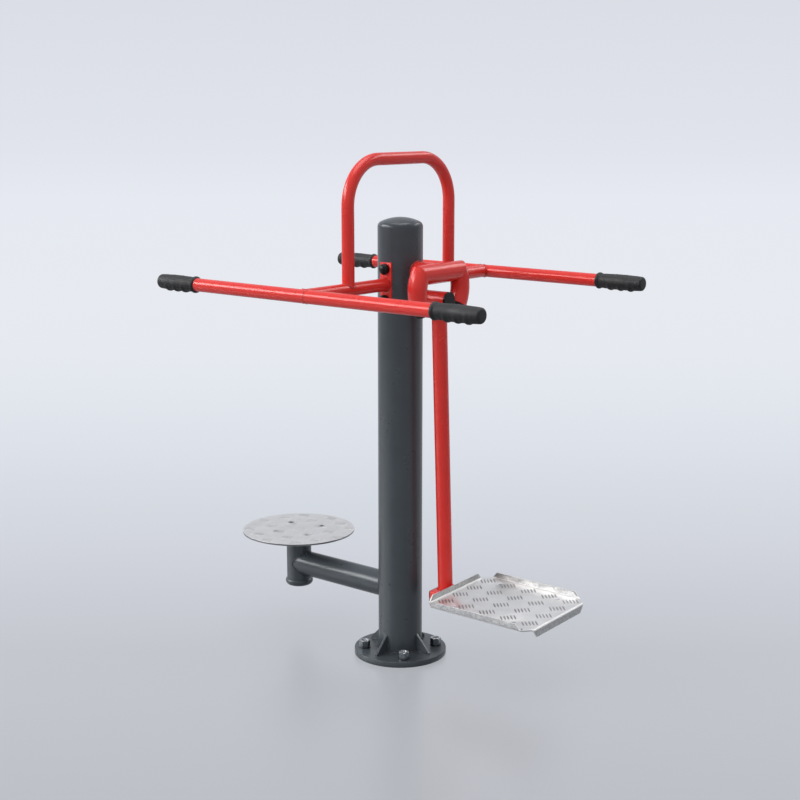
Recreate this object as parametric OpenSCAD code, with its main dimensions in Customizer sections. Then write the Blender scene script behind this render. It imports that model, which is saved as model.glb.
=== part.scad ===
// Outdoor gym station on one post: a turntable for twisting and a hanging footplate for swinging.
// The origin is on the ground at the middle of the base flange, +Z up.
// The turntable is at -X, the footplate at +X, the front handlebar at -Y and the rear one at +Y.

/* [Base] */
// Diameter of the base flange
flange_d = 295; // [280:1:340]
// Thickness of the base flange
flange_t = 18; // [12:1:25]
// Diameter of the circle that the anchors stand on
anchor_pcd = 230; // [220:1:240]
// Number of anchors, and of ribs between them
anchor_count = 4; // [3:1:5]
// Diameter of the anchor holes in the flange
anchor_hole_d = 22; // [21:0.5:26]
// Diameter of the anchor studs that the nuts fit
stud_d = 20; // [16:1:20]
// Diameter of the anchor washers
anchor_washer_d = 37; // [34:1:40]
// Thickness of the anchor washers
anchor_washer_t = 3; // [2:0.5:5]
// Width across flats of the anchor nuts
anchor_nut_af = 30; // [28:1:32]
// Height of the anchor nuts
anchor_nut_h = 22; // [16:1:26]
// Thickness of the ribs
gusset_t = 8; // [5:1:12]
// Length of the ribs, out from the post
gusset_len = 51; // [35:1:65]
// Height of the ribs above the flange
gusset_h = 57; // [40:1:90]
// Height of the ribs' outer ends
gusset_nose = 4; // [2:1:10]

/* [Post] */
// Outer diameter of the post
post_d = 139.7; // [130:0.1:150]
// Wall of the post
post_wall = 5; // [3:0.5:8]
// Height of the post's tube above the ground
post_h = 1364; // [1330:1:1450]
// Height of the straight rim of the post's cap
cap_rim = 6.4; // [3:0.1:15]
// Radius of the cap's crown
cap_crown_r = 140; // [110:1:200]
// Radius of the rounding between the cap's rim and its crown
cap_knuckle_r = 18; // [8:1:30]
// Wall of the cap
cap_wall = 4; // [2:0.5:6]
// Depth of the cap's spigot inside the post
cap_spigot_len = 30; // [15:1:60]

/* [Twister] */
// Height of the arm's axis
arm_z = 215; // [200:1:260]
// Diameter of the arm
arm_d = 82; // [60:1:82]
// Wall of the arm
arm_wall = 4; // [2.5:0.5:6]
// Distance from the post's axis to the turntable's axis
sleeve_x = 446; // [400:1:520]
// Wall of the bearing sleeve
sleeve_wall = 5.5; // [5:0.5:9]
// Length of the bearing sleeve
sleeve_len = 147; // [135:1:180]
// Distance from the arm's axis down to the sleeve's lower end
sleeve_drop = 56; // [50:1:65]
// How far the sleeve's bottom cap bulges past the sleeve
sleeve_cap_bulge = 5; // [2:0.5:8]
// Distance from the sleeve's end down to the widest place of its cap
sleeve_cap_belly = 9; // [5:0.5:10]
// Radius of the cap's upper rounding
sleeve_cap_upper_r = 11; // [10.5:0.5:14]
// Radius of the cap's lower rounding
sleeve_cap_lower_r = 14; // [10:0.5:20]
// Thickness of the cap's floor
sleeve_cap_floor = 2.5; // [1.5:0.5:4]
// Depth of the cap's spigot inside the sleeve
sleeve_cap_spigot_len = 13; // [8:0.5:15]
// Wall of the cap's spigot
sleeve_cap_spigot_wall = 3; // [2:0.5:5]
// Diameter of the disc that the user stands on
disc_d = 376; // [320:1:420]
// Thickness of the disc
disc_t = 6; // [5.5:0.5:10]
// Diameter of the hub's flange under the disc
hub_flange_d = 190; // [185:1:260]
// Thickness of the hub's flange
hub_flange_t = 8; // [6:0.5:12]
// Gap between the sleeve's top and the hub's flange
hub_gap = 10; // [4:0.5:20]
// Distance of the disc's screws from its axis
disc_screw_r = 82; // [60:1:84]
// Direction of the first of the disc's screws, in degrees
disc_screw_angle = -27.7; // [-45:0.1:45]
// Number of the disc's screws
disc_screw_count = 4; // [3:1:6]
// Thread diameter of the disc's screws
disc_screw_d = 10; // [8:0.5:12]
// Head diameter of the disc's screws
disc_screw_head_d = 20; // [15:0.5:20]
// Width across flats of the sockets in the disc's screws
disc_socket_af = 6; // [4:0.5:7]
// Depth of the sockets in the disc's screws
disc_socket_depth = 3; // [1:0.5:4]

/* [Twister bearings] */
// Bore of the turntable's bearings
spindle_d = 35; // [30:1:36]
// Outer diameter of the turntable's bearings
spindle_bearing_d = 72; // [72:1:80]
// Width of the turntable's bearings
spindle_bearing_w = 17; // [12:1:20]
// Thickness of their inner rings
spindle_inner_race_t = 5.5; // [4:0.5:6]
// Thickness of their outer rings
spindle_outer_race_t = 6; // [3:0.5:7]
// Distance from the sleeve's top down to the upper bearing
upper_bearing_inset = 4; // [3.5:0.5:8]
// Distance from the sleeve's lower end up to the lower bearing
lower_bearing_inset = 19; // [19:0.5:25]
// Thickness of the circlips
circlip_t = 2.5; // [1.5:0.1:3]
// Radial width of the circlips
circlip_band = 6; // [4:0.5:8]
// Depth of the circlips' grooves
circlip_groove = 1.5; // [1:0.1:2]
// Wall of the spacers between the turntable's bearings
spindle_spacer_wall = 4; // [2:0.5:4.5]
// Diameter of the threads on the spindle and the axle
tail_d = 24; // [20:1:27]
// How far the threads stand out of their nuts
tail_proud = 1.5; // [1:0.5:3]
// Diameter of the spindle's washer
spindle_washer_d = 44; // [40:1:45]
// Thickness of the spindle's washer
spindle_washer_t = 4; // [2:0.5:5]
// Width across flats of the spindle's and the axle's nuts
tail_nut_af = 36; // [34:1:36]
// Height of the spindle's nut
spindle_nut_h = 19; // [12:1:20]

/* [Handlebars] */
// Distance from the post's top down to the handlebars' axes
handle_inset = 165.5; // [140:0.5:200]
// Distance from the post's axis to each crossbar
bar_y = 440; // [380:1:520]
// Diameter of the stems
stem_d = 39.5; // [38.5:0.5:40]
// Wall of the stems
stem_wall = 3; // [2:0.5:5]
// Diameter of the crossbars
bar_d = 40.4; // [40.1:0.1:42]
// Wall of the crossbars
bar_wall = 3; // [2:0.5:5]
// Length of each half of a crossbar, from the weld ring to its end
bar_half = 614; // [500:1:700]
// Width of the saddle plates
saddle_w = 44.5; // [42:0.5:64]
// Height of the saddle plates
saddle_h = 136; // [132:1:160]
// Thickness of the saddle plates
saddle_t = 3.5; // [2.5:0.5:6]
// Radius of the saddle plates' corners
saddle_corner_r = 2.5; // [1:0.5:14]

/* [Handle bolts] */
// Distance between the upper and the lower bolt
bolt_pitch = 95; // [78:0.1:97]
// Thread diameter of the bolts
bolt_d = 12; // [10:1:13]
// Clearance of the bolts in their holes
bolt_clearance = 1; // [0.5:0.1:2]
// Width across flats of the bolts' heads and nuts
bolt_af = 18; // [17:0.5:19]
// Height of the bolts' heads
bolt_head_h = 7.5; // [5:0.5:9]
// Height of the bolts' nuts
bolt_nut_h = 8; // [5:0.5:9]
// How far the bolts stand out of their nuts
bolt_proud = 2; // [1:0.5:2.5]
// Diameter of the bolts' washers
bolt_washer_d = 24; // [22:0.5:26]
// Thickness of the bolts' washers at the middle
bolt_washer_t = 2.5; // [1.5:0.5:3]
// Diameter of the domed bolt covers
bolt_cap_d = 33; // [32:0.5:36]
// Height of the covers
bolt_cap_h = 18; // [17:0.5:22]
// Height of the covers' straight rims
bolt_cap_rim = 9; // [7:0.5:10]
// Wall of the covers
bolt_cap_wall = 2; // [1:0.5:2.5]

/* [Grips] */
// Length of the grips
grip_len = 164; // [156:1:180]
// Thickness of the grips' closed ends
grip_end = 6; // [3:0.5:10]
// Radius of the grips' sleeves at their middle
grip_r = 24.3; // [24:0.1:26]
// How much smaller that radius is at the sleeves' ends
grip_swell = 2.3; // [0.5:0.1:2.5]
// Rounding of the grips' ends
grip_round = 8; // [4:0.5:11]
// Number of finger ridges
ridge_count = 3; // [1:1:3]
// Distance between two finger ridges
ridge_pitch = 35; // [32:0.5:36]
// Distance from a grip's inner end to its first ridge
ridge_first = 51; // [40:0.5:52]
// Profile radius of the ridges
ridge_r = 14; // [11:0.5:16]
// Depth of the ridges' crests below the bars' axes
ridge_depth = 27.5; // [27:0.5:29]
// Radius of the collars at the grips' inner ends
collar_r = 25.6; // [25:0.1:28]
// Width of these rounded collars
collar_w = 16; // [10:0.5:20]

/* [Top loop] */
// Diameter of the loop's tube
loop_d = 38; // [30:0.5:38.5]
// Wall of the loop's tube
loop_wall = 2.5; // [1.5:0.5:5]
// Distance of the loop's legs from the post's axis
loop_y = 241.3; // [210:0.1:280]
// Height of the loop's top axis above the handlebars
loop_rise = 378.5; // [350:0.5:450]
// Radius of the loop's bends
loop_bend_r = 136; // [80:1:160]

/* [Stirrup round the pivot] */
// Distance from the post's top down to the stirrup's top tube
bow_inset = 125; // [100:1:145]
// Distance from the post's axis to the stirrup
bow_x = 152; // [145:1:180]
// Diameter of the stirrup's tubes
bow_d = 59; // [58:0.5:62]
// Wall of the stirrup's tubes
bow_wall = 4; // [2.5:0.5:5]
// Diameter of the arm that carries the stirrup
bow_arm_d = 57; // [48:0.5:57.5]
// Radius of the stirrup's curved sides
bow_r = 104; // [100:1:120]
// Distance from the top tube down to the middle of the curve
bow_drop = 49; // [40:1:60]
// How far the sides curve on below that middle, in degrees
bow_end_angle = 31.7; // [25:0.1:33]
// Diameter of the rubber stops
bumper_d = 50; // [40:0.5:50]
// Length of the rubber stops
bumper_len = 18; // [10:1:18]
// Chamfer of the rubber stops
bumper_chamfer = 5; // [3:0.5:6]
// Depth of the stops' plugs inside the tubes
bumper_plug_len = 15; // [8:1:20]

/* [Pivot] */
// Distance from the stirrup's top tube down to the pivot
pivot_drop = 82; // [78:1:90]
// Diameter of the axle, and bore of its bearings
axle_d = 30; // [28:1:31]
// Outer diameter of the axle's bearings
axle_bearing_d = 47; // [47:1:50]
// Width of the axle's bearings
axle_bearing_w = 9; // [7:1:12]
// Thickness of their inner rings
axle_inner_race_t = 2.3; // [2:0.1:2.5]
// Thickness of their outer rings
axle_outer_race_t = 2.25; // [1.5:0.05:2.5]
// Diameter of the axle's collar
axle_collar_d = 36; // [35:0.5:38]
// Wall of the pivot's housing
hub_wall = 3.5; // [2.5:0.5:6]
// Length of the housing from the stirrup's middle toward the post
hub_near = 54; // [50:1:58]
// Length of the housing from the stirrup's middle away from the post
hub_far = 35; // [33:1:45]
// Gap between the fixed boss and the housing
boss_gap = 2; // [1:0.5:4]
// Width of the housing's lip
hub_lip = 3; // [2:0.5:5]
// Depth of the hub cap's spigot
hub_spigot_len = 18; // [17:0.5:22]
// Thickness of the hub cap outside the housing
hub_cap_t = 7; // [5:0.5:10]
// Thickness of the hub cap's face
hub_cap_face = 3; // [2:0.5:4]
// Rounding of the hub cap's edge
hub_cap_round = 2.5; // [1:0.5:4]
// Wall of the spacers between the axle's bearings
axle_spacer_wall = 3; // [1.5:0.5:3]
// Diameter of the axle's washer
axle_washer_d = 38; // [35:0.5:39]
// Thickness of the axle's washer
axle_washer_t = 3; // [2:0.5:3]
// Height of the axle's nut
axle_nut_h = 12; // [8:0.5:12]

/* [Swinging leg] */
// Swing of the leg as it is drawn, in degrees
swing_now = 2.5; // [-28:0.5:28]
// Height of the top of the step's beam above the ground, before the leg swings
step_z = 234; // [200:1:300]
// Diameter of the leg
leg_d = 47; // [38:0.5:47]
// Wall of the leg
leg_wall = 3.5; // [2:0.5:5]
// Width of the beam under the footplate
beam_w = 100; // [80:1:140]
// Height of this beam
beam_h = 40; // [30:1:60]
// Wall of this beam
beam_wall = 3; // [2:0.5:5]
// Radius of the beam's corners
beam_corner_r = 6; // [5.5:0.5:10]
// Distance from the leg's axis back to the beam's near end
beam_back = 24; // [24:1:40]
// Thickness of the plugs outside the beam's ends
plug_t = 3; // [2:0.5:5]
// Depth of the plugs inside the beam
plug_depth = 14; // [8:1:25]

/* [Footplate] */
// Distance from the leg's axis to the footplate's near edge
plate_gap = 39.3; // [30:0.1:60]
// Length of the footplate
plate_len = 390; // [360:1:450]
// Width of the footplate
plate_w = 326; // [290:1:380]
// Thickness of the footplate
plate_t = 4; // [4:0.5:6]
// Length of the footplate's cut corners
plate_corner = 32.5; // [15:0.5:40]
// Height of the raised edges above the tread
lip_up = 19; // [10:1:40]
// Depth of the far edge below the plate
lip_down = 25; // [10:1:40]
// How far the ends of the folded edges slope in
lip_slope = 14; // [4:1:24]
// Distance from the beam's far end to the footplate's far edge
beam_setback = 37; // [20:1:60]
// Distance from the near edge to the first pair of outriggers
outrigger_near = 91.5; // [70:0.5:110]
// Distance from the far edge to the second pair of outriggers
outrigger_far = 83.5; // [70:0.5:100]
// Distance from the footplate's sides to the outriggers' ends
outrigger_setback = 23; // [10:1:32]
// Width of the outriggers
outrigger_w = 40; // [30:1:60]
// Thickness of the outriggers
outrigger_t = 6; // [4:0.5:10]
// Distance from the footplate's sides to the screws
step_screw_inset = 46; // [42:0.5:60]
// Thread diameter of the footplate's screws
step_screw_d = 8; // [6:0.5:9]
// Head diameter of the footplate's screws
step_screw_head_d = 15; // [12:0.5:15]
// Width across flats of the footplate's nuts
step_nut_af = 13; // [12:0.5:15]
// Height of the footplate's nuts
step_nut_h = 6.5; // [4:0.5:8]
// How far the screws stand out of these nuts
step_screw_proud = 3; // [1:0.5:6]
// Width across flats of the sockets in the footplate's screws
step_socket_af = 5; // [3:0.5:5.5]
// Depth of the sockets in the footplate's screws
step_socket_depth = 2.5; // [1:0.5:3]

/* [Hidden] */
$fn = 96;

// Overrun of every cut past the face that it opens
cut = 1;
// Radial clearance of spigots and plugs in their tubes
spigot_fit = 0.15;
// Gap between a bearing's shields and its inner ring, radially
shield_gap = 0.4;
// Thickness of the bearings' shields
shield_t = 0.8;
// How far the shields sit below the rings' faces
shield_recess = 0.6;
// How far a shaft's seat stops short of the bearing's face, so that the washer clamps the ring
clamp_gap = 0.5;
// Extra width of the circlips' grooves
circlip_play = 0.15;
// Skirt below the bolt covers before their undersides are cut to the saddle
bolt_cap_skirt = 4;

post_r = post_d / 2;
saddle_r = post_r + saddle_t;

// Cap on the post: where the crown and the knuckle have their centres, and where they meet
cap_knuckle_z = post_h + cap_rim;
cap_crown_z = cap_knuckle_z - sqrt(pow(cap_crown_r - cap_knuckle_r, 2) - pow(post_r - cap_knuckle_r, 2));
cap_meet_angle = atan2(cap_knuckle_z - cap_crown_z, post_r - cap_knuckle_r);
cap_spigot_r = post_r - post_wall - spigot_fit;
cap_bore_r = cap_spigot_r - cap_wall;

// Twister: heights along the turntable's axis
sleeve_d = spindle_bearing_d + 2 * sleeve_wall;
sleeve_z0 = arm_z - sleeve_drop;
sleeve_z1 = sleeve_z0 + sleeve_len;
lower_bearing_z = sleeve_z0 + lower_bearing_inset;
upper_bearing_z = sleeve_z1 - upper_bearing_inset - spindle_bearing_w;
spindle_spacer_z = lower_bearing_z + spindle_bearing_w;
spindle_spacer_len = upper_bearing_z - spindle_spacer_z;
hub_flange_z = sleeve_z1 + hub_gap;
disc_z = hub_flange_z + hub_flange_t;
spindle_inner_d = spindle_d + 2 * spindle_inner_race_t;
spindle_nut_z = lower_bearing_z - spindle_washer_t - spindle_nut_h;
sleeve_cap_r = sleeve_d / 2 + sleeve_cap_bulge;
sleeve_cap_z = sleeve_z0 - sleeve_cap_belly - sleeve_cap_lower_r;
sleeve_cap_spigot_r = spindle_bearing_d / 2 - spigot_fit;

// Heights that follow the post's top
handle_z = post_h - handle_inset;
bow_z = post_h - bow_inset;

// Handlebars: the weld ring between the halves sits beside the stem
ring_x = bar_d / 2;
grip_start = bar_half + grip_end - grip_len;

// Grips: the sleeve's long curve, from the collar to the rounded end
grip_end_r = grip_r - grip_swell;
grip_curve_half = (grip_len - grip_round - collar_w) / 2;
grip_curve_r = (pow(grip_curve_half, 2) + pow(grip_swell, 2)) / (2 * grip_swell);
grip_curve_angle = asin(grip_curve_half / grip_curve_r);
bolt_cap_sphere_r = (pow(bolt_cap_d / 2, 2) + pow(bolt_cap_h - bolt_cap_rim, 2)) / (2 * (bolt_cap_h - bolt_cap_rim));

// Stirrup: where its straight top meets the curved sides
bow_mitre_angle = asin(bow_drop / bow_r);
bow_mitre_y = bow_r * cos(bow_mitre_angle);
bow_curve_z = bow_z - bow_drop;
// The stops' plugs narrow inward, so that the bent tubes clear them
bumper_plug_r = bow_d / 2 - bow_wall - spigot_fit;
bumper_plug_end_r = sqrt(pow(bow_r + bumper_plug_r, 2) - pow(bumper_plug_len, 2)) - bow_r;

// Pivot: places along its axis, measured from the post's axis
pivot_z = bow_z - pivot_drop;
hub_d = axle_bearing_d + 2 * hub_wall;
hub_x0 = bow_x - hub_near;
hub_x1 = bow_x + hub_far;
boss_x1 = hub_x0 - boss_gap;
axle_x0 = sqrt(pow(post_r - post_wall, 2) - pow(axle_d / 2, 2));
near_bearing_x = hub_x0 + hub_lip;
far_bearing_x = hub_x1 - hub_spigot_len - axle_bearing_w;
axle_spacer_x = near_bearing_x + axle_bearing_w;
axle_spacer_len = far_bearing_x - axle_spacer_x;
axle_washer_x = far_bearing_x + axle_bearing_w;
axle_nut_x = axle_washer_x + axle_washer_t;
axle_inner_d = axle_d + 2 * axle_inner_race_t;
axle_race_bore = axle_bearing_d - 2 * axle_outer_race_t;

// Step: heights and places before the leg swings
leg_len = pivot_z - step_z;
tread_z = step_z + plate_t;
plate_x0 = bow_x + plate_gap;
plate_x1 = plate_x0 + plate_len;
beam_x0 = bow_x - beam_back;
beam_x1 = plate_x1 - beam_setback;
outrigger_xs = [plate_x0 + outrigger_near, plate_x1 - outrigger_far];
outrigger_y1 = plate_w / 2 - outrigger_setback;
step_screw_y = plate_w / 2 - step_screw_inset;

post_colour = [0.30, 0.31, 0.34];
red_colour = [0.80, 0.18, 0.16];
black_colour = [0.14, 0.14, 0.15];
steel_colour = [0.68, 0.69, 0.71];
tread_colour = [0.80, 0.80, 0.81];

// Points along an arc in the plane, from angle a0 to angle a1
function arc(cx, cy, r, a0, a1, steps = 16) = [
    for (i = [0 : steps])
        let (a = a0 + (a1 - a0) * i / steps)
        [cx + r * cos(a), cy + r * sin(a)]
];

// Tube that stands on its own origin
module tube(d, bore, len) {
    difference() {
        cylinder(d = d, h = len);
        translate([0, 0, -cut]) cylinder(d = bore, h = len + 2 * cut);
    }
}

// Hexagonal prism with the given width across its flats
module hexagon(af, h) {
    cylinder(d = af / cos(30), h = h, $fn = 6);
}

// Rectangle with round corners, centred
module round_rect(w, h, r) {
    square([w - 2 * r, h], center = true);
    square([w, h - 2 * r], center = true);
    for (sx = [-1, 1], sy = [-1, 1]) {
        translate([sx * (w / 2 - r), sy * (h / 2 - r)]) circle(r = r);
    }
}

// Puts a shape that stands on the ground on the turntable's axis, at height z
module on_spindle(z) {
    translate([-sleeve_x, 0, z]) children();
}

// Lays an upright shape along the pivot's axis, starting at distance x from the post's axis
module on_axle(x) {
    translate([x, 0, pivot_z]) rotate([0, 90, 0]) children();
}

// Swings what hangs from the pivot
module swung() {
    translate([0, 0, pivot_z]) rotate([swing_now, 0, 0]) translate([0, 0, -pivot_z]) children();
}

// Turns an upright shape outward at one bolt: side is -1 in front and 1 at the rear
module at_bolt(side, level) {
    translate([0, 0, handle_z + level * bolt_pitch / 2]) rotate([-90 * side, 0, 0]) children();
}

module at_anchors() {
    for (k = [0 : anchor_count - 1]) {
        rotate([0, 0, (k + 0.5) * 360 / anchor_count]) translate([anchor_pcd / 2, 0, 0]) children();
    }
}

module at_disc_screws(z) {
    on_spindle(z) for (k = [0 : disc_screw_count - 1]) {
        rotate([0, 0, disc_screw_angle + k * 360 / disc_screw_count])
            translate([disc_screw_r, 0, 0]) children();
    }
}

module at_step_screws(z) {
    for (x = outrigger_xs, side = [-1, 1]) {
        translate([x, side * step_screw_y, z]) children();
    }
}

// Holes for both handle bolts, through the post and its saddle plates
module bolt_holes(d) {
    for (level = [-1, 1]) {
        at_bolt(1, level) cylinder(d = d, h = 2 * (saddle_r + cut), center = true);
    }
}

// Countersunk screw with its head's top at zero, and its hole with the overrun of a cut
module countersunk_shape(d, head_d, len) {
    depth = (head_d - d) / 2;
    translate([0, 0, -depth]) cylinder(d1 = d, d2 = head_d, h = depth);
    translate([0, 0, -len]) cylinder(d = d, h = len - depth);
}

module countersunk_hole(d, head_d, len) {
    countersunk_shape(d, head_d, len + cut);
    cylinder(d = head_d, h = cut);
}

module countersunk_screw(d, head_d, len, socket_af, socket_depth) {
    difference() {
        countersunk_shape(d, head_d, len);
        translate([0, 0, -socket_depth]) hexagon(socket_af, socket_depth + cut);
    }
}

// Outer ring of a bearing with its two shields
module bearing_outer(d, w, race_t, inner_d) {
    race_bore = d - 2 * race_t;
    shield_bore = inner_d + 2 * shield_gap;
    shield_end = shield_recess + shield_t;
    difference() {
        tube(d, shield_bore, w);
        translate([0, 0, -cut]) cylinder(d = race_bore, h = shield_recess + cut);
        translate([0, 0, shield_end]) cylinder(d = race_bore, h = w - 2 * shield_end);
        translate([0, 0, w - shield_recess]) cylinder(d = race_bore, h = shield_recess + cut);
    }
}

module base_flange() {
    color(post_colour) difference() {
        cylinder(d = flange_d, h = flange_t);
        at_anchors() translate([0, 0, -cut]) cylinder(d = anchor_hole_d, h = flange_t + 2 * cut);
    }
}

module base_gussets() {
    reach = post_r + gusset_len;
    color(post_colour) difference() {
        for (k = [0 : anchor_count - 1]) {
            rotate([0, 0, k * 360 / anchor_count]) translate([0, gusset_t / 2, flange_t])
                rotate([90, 0, 0]) linear_extrude(gusset_t)
                    polygon([
                        [post_r - post_wall, 0], [reach, 0], [reach, gusset_nose],
                        [post_r, gusset_h], [post_r - post_wall, gusset_h]
                    ]);
        }
        cylinder(d = post_d, h = flange_t + gusset_h + cut);
    }
}

module anchor_washers() {
    color(steel_colour) at_anchors() translate([0, 0, flange_t])
        tube(anchor_washer_d, stud_d, anchor_washer_t);
}

module anchor_nuts() {
    color(steel_colour) at_anchors() translate([0, 0, flange_t + anchor_washer_t]) difference() {
        hexagon(anchor_nut_af, anchor_nut_h);
        translate([0, 0, -cut]) cylinder(d = stud_d, h = anchor_nut_h + 2 * cut);
    }
}

module post_tube() {
    color(post_colour) difference() {
        translate([0, 0, flange_t]) tube(post_d, post_d - 2 * post_wall, post_h - flange_t);
        bolt_holes(bolt_d + bolt_clearance);
        on_axle(0) cylinder(d = axle_d, h = post_d);
    }
}

module post_cap() {
    spigot_z = post_h - cap_spigot_len;
    inner_crown_r = cap_crown_r - cap_wall;
    color(post_colour) rotate_extrude() polygon(concat(
        [[cap_spigot_r, spigot_z], [cap_spigot_r, post_h], [post_r, post_h]],
        arc(post_r - cap_knuckle_r, cap_knuckle_z, cap_knuckle_r, 0, cap_meet_angle, 10),
        arc(0, cap_crown_z, cap_crown_r, cap_meet_angle, 90, 14),
        arc(0, cap_crown_z, inner_crown_r, 90, acos(cap_bore_r / inner_crown_r), 14),
        [[cap_bore_r, spigot_z]]
    ));
}

module twister_arm() {
    color(post_colour) difference() {
        translate([0, 0, arm_z]) rotate([0, -90, 0]) tube(arm_d, arm_d - 2 * arm_wall, sleeve_x);
        translate([0, 0, arm_z - arm_d]) cylinder(d = post_d, h = 2 * arm_d);
        on_spindle(arm_z - arm_d) cylinder(d = sleeve_d, h = 2 * arm_d);
    }
}

module twister_sleeve() {
    groove_d = spindle_bearing_d + 2 * circlip_groove;
    groove_w = circlip_t + circlip_play;
    color(post_colour) difference() {
        on_spindle(sleeve_z0) tube(sleeve_d, spindle_bearing_d, sleeve_len);
        on_spindle(lower_bearing_z - groove_w) cylinder(d = groove_d, h = groove_w);
        on_spindle(upper_bearing_z + spindle_bearing_w) cylinder(d = groove_d, h = groove_w);
    }
}

module sleeve_bottom_cap() {
    belly_z = sleeve_z0 - sleeve_cap_belly;
    floor_z = sleeve_cap_z + sleeve_cap_floor;
    spigot_z = sleeve_z0 + sleeve_cap_spigot_len;
    bore_r = sleeve_cap_spigot_r - sleeve_cap_spigot_wall;
    start_angle = asin(sleeve_cap_belly / sleeve_cap_upper_r);
    color(post_colour) on_spindle(0) rotate_extrude() polygon(concat(
        [[bore_r, spigot_z], [sleeve_cap_spigot_r, spigot_z], [sleeve_cap_spigot_r, sleeve_z0]],
        arc(sleeve_cap_r - sleeve_cap_upper_r, belly_z, sleeve_cap_upper_r, start_angle, 0, 6),
        arc(sleeve_cap_r - sleeve_cap_lower_r, belly_z, sleeve_cap_lower_r, -9, -90, 9),
        [[0, sleeve_cap_z], [0, floor_z], [bore_r, floor_z]]
    ));
}

module twister_bearing_outers() {
    color(steel_colour) for (z = [lower_bearing_z, upper_bearing_z]) {
        on_spindle(z) bearing_outer(
            spindle_bearing_d, spindle_bearing_w, spindle_outer_race_t, spindle_inner_d);
    }
}

module twister_outer_spacer() {
    color(steel_colour) on_spindle(spindle_spacer_z)
        tube(spindle_bearing_d, spindle_bearing_d - 2 * spindle_spacer_wall, spindle_spacer_len);
}

module twister_circlips() {
    outer_d = spindle_bearing_d + 2 * circlip_groove;
    color(steel_colour) for (z = [lower_bearing_z - circlip_t, upper_bearing_z + spindle_bearing_w]) {
        on_spindle(z) tube(outer_d, outer_d - 2 * circlip_band, circlip_t);
    }
}

// Plate that lies round the post, cut from a tube by a rounded outline
module saddle(side) {
    color(red_colour) difference() {
        intersection() {
            translate([0, 0, handle_z - saddle_h]) cylinder(r = saddle_r, h = 2 * saddle_h);
            translate([0, 0, handle_z]) rotate([-90 * side, 0, 0]) linear_extrude(saddle_r + cut)
                round_rect(saddle_w, saddle_h, saddle_corner_r);
        }
        translate([0, 0, handle_z - saddle_h]) cylinder(d = post_d, h = 2 * saddle_h);
        bolt_holes(bolt_d + bolt_clearance);
    }
}

module front_saddle() {
    saddle(-1);
}

module rear_saddle() {
    saddle(1);
}

module stem(side) {
    color(red_colour) difference() {
        translate([0, 0, handle_z]) rotate([-90 * side, 0, 0])
            tube(stem_d, stem_d - 2 * stem_wall, bar_y);
        translate([0, 0, handle_z - stem_d]) cylinder(r = saddle_r, h = 2 * stem_d);
        translate([-stem_d, side * bar_y, handle_z]) rotate([0, 90, 0])
            cylinder(d = bar_d, h = 2 * stem_d);
    }
}

module front_stem() {
    stem(-1);
}

module rear_stem() {
    stem(1);
}

// Puts a shape that points along +X on one half of a crossbar: way is 1 toward +X and -1 toward -X
module on_bar(side, way) {
    translate([-side * ring_x, side * bar_y, handle_z]) rotate([0, 0, 90 * (1 - way)]) children();
}

module half_bar(side, way) {
    color(red_colour) on_bar(side, way) rotate([0, 90, 0])
        tube(bar_d, bar_d - 2 * bar_wall, bar_half);
}

module front_bar_left() {
    half_bar(-1, -1);
}

module front_bar_right() {
    half_bar(-1, 1);
}

module rear_bar_left() {
    half_bar(1, -1);
}

module rear_bar_right() {
    half_bar(1, 1);
}

// Rubber grip with a collar at its inner end, finger ridges underneath and a closed round end
module grip_shape() {
    ridge_axis = ridge_depth - grip_r;
    ridge_centre = grip_r - ridge_r;
    ridge_angle = acos(-ridge_centre / ridge_r);
    color(black_colour) difference() {
        union() {
            translate([grip_start, 0, 0]) rotate([0, 90, 0]) rotate_extrude() {
                square([collar_r - collar_w / 2, collar_w]);
                translate([collar_r - collar_w / 2, collar_w / 2]) circle(d = collar_w);
                polygon(concat(
                    [[0, 0], [grip_end_r, 0]],
                    arc(grip_r - grip_curve_r, collar_w + grip_curve_half, grip_curve_r,
                        -grip_curve_angle, grip_curve_angle),
                    [[0, grip_len - grip_round]]));
                square([grip_end_r - grip_round, grip_len]);
                translate([grip_end_r - grip_round, grip_len - grip_round]) circle(r = grip_round);
            }
            for (k = [0 : ridge_count - 1]) {
                translate([grip_start + ridge_first + k * ridge_pitch, 0, -ridge_axis])
                    rotate([0, 90, 0]) rotate_extrude()
                        polygon(arc(ridge_centre, 0, ridge_r, -ridge_angle, ridge_angle, 20));
            }
        }
        translate([grip_start - cut, 0, 0]) rotate([0, 90, 0])
            cylinder(d = bar_d, h = bar_half - grip_start + cut);
    }
}

module front_left_grip() {
    on_bar(-1, -1) grip_shape();
}

module front_right_grip() {
    on_bar(-1, 1) grip_shape();
}

module rear_left_grip() {
    on_bar(1, -1) grip_shape();
}

module rear_right_grip() {
    on_bar(1, 1) grip_shape();
}

// Solid rod along the loop's path, with its legs' feet at the stems' axes
module loop_path(d, foot_overrun) {
    straight = loop_y - loop_bend_r;
    leg = loop_rise - loop_bend_r;
    for (side = [-1, 1]) {
        translate([0, side * loop_y, handle_z - foot_overrun]) cylinder(d = d, h = leg + foot_overrun);
        translate([0, side * straight, handle_z + leg]) rotate([0, 90, 0])
            rotate([0, 0, side > 0 ? 90 : 180]) rotate_extrude(angle = 90)
                translate([loop_bend_r, 0]) circle(d = d);
    }
    translate([0, -straight, handle_z + loop_rise]) rotate([-90, 0, 0])
        cylinder(d = d, h = 2 * straight);
}

module top_loop() {
    color(red_colour) difference() {
        loop_path(loop_d, 0);
        loop_path(loop_d - 2 * loop_wall, cut);
        translate([0, -loop_y - loop_d, handle_z]) rotate([-90, 0, 0])
            cylinder(d = stem_d, h = 2 * (loop_y + loop_d));
    }
}

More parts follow.
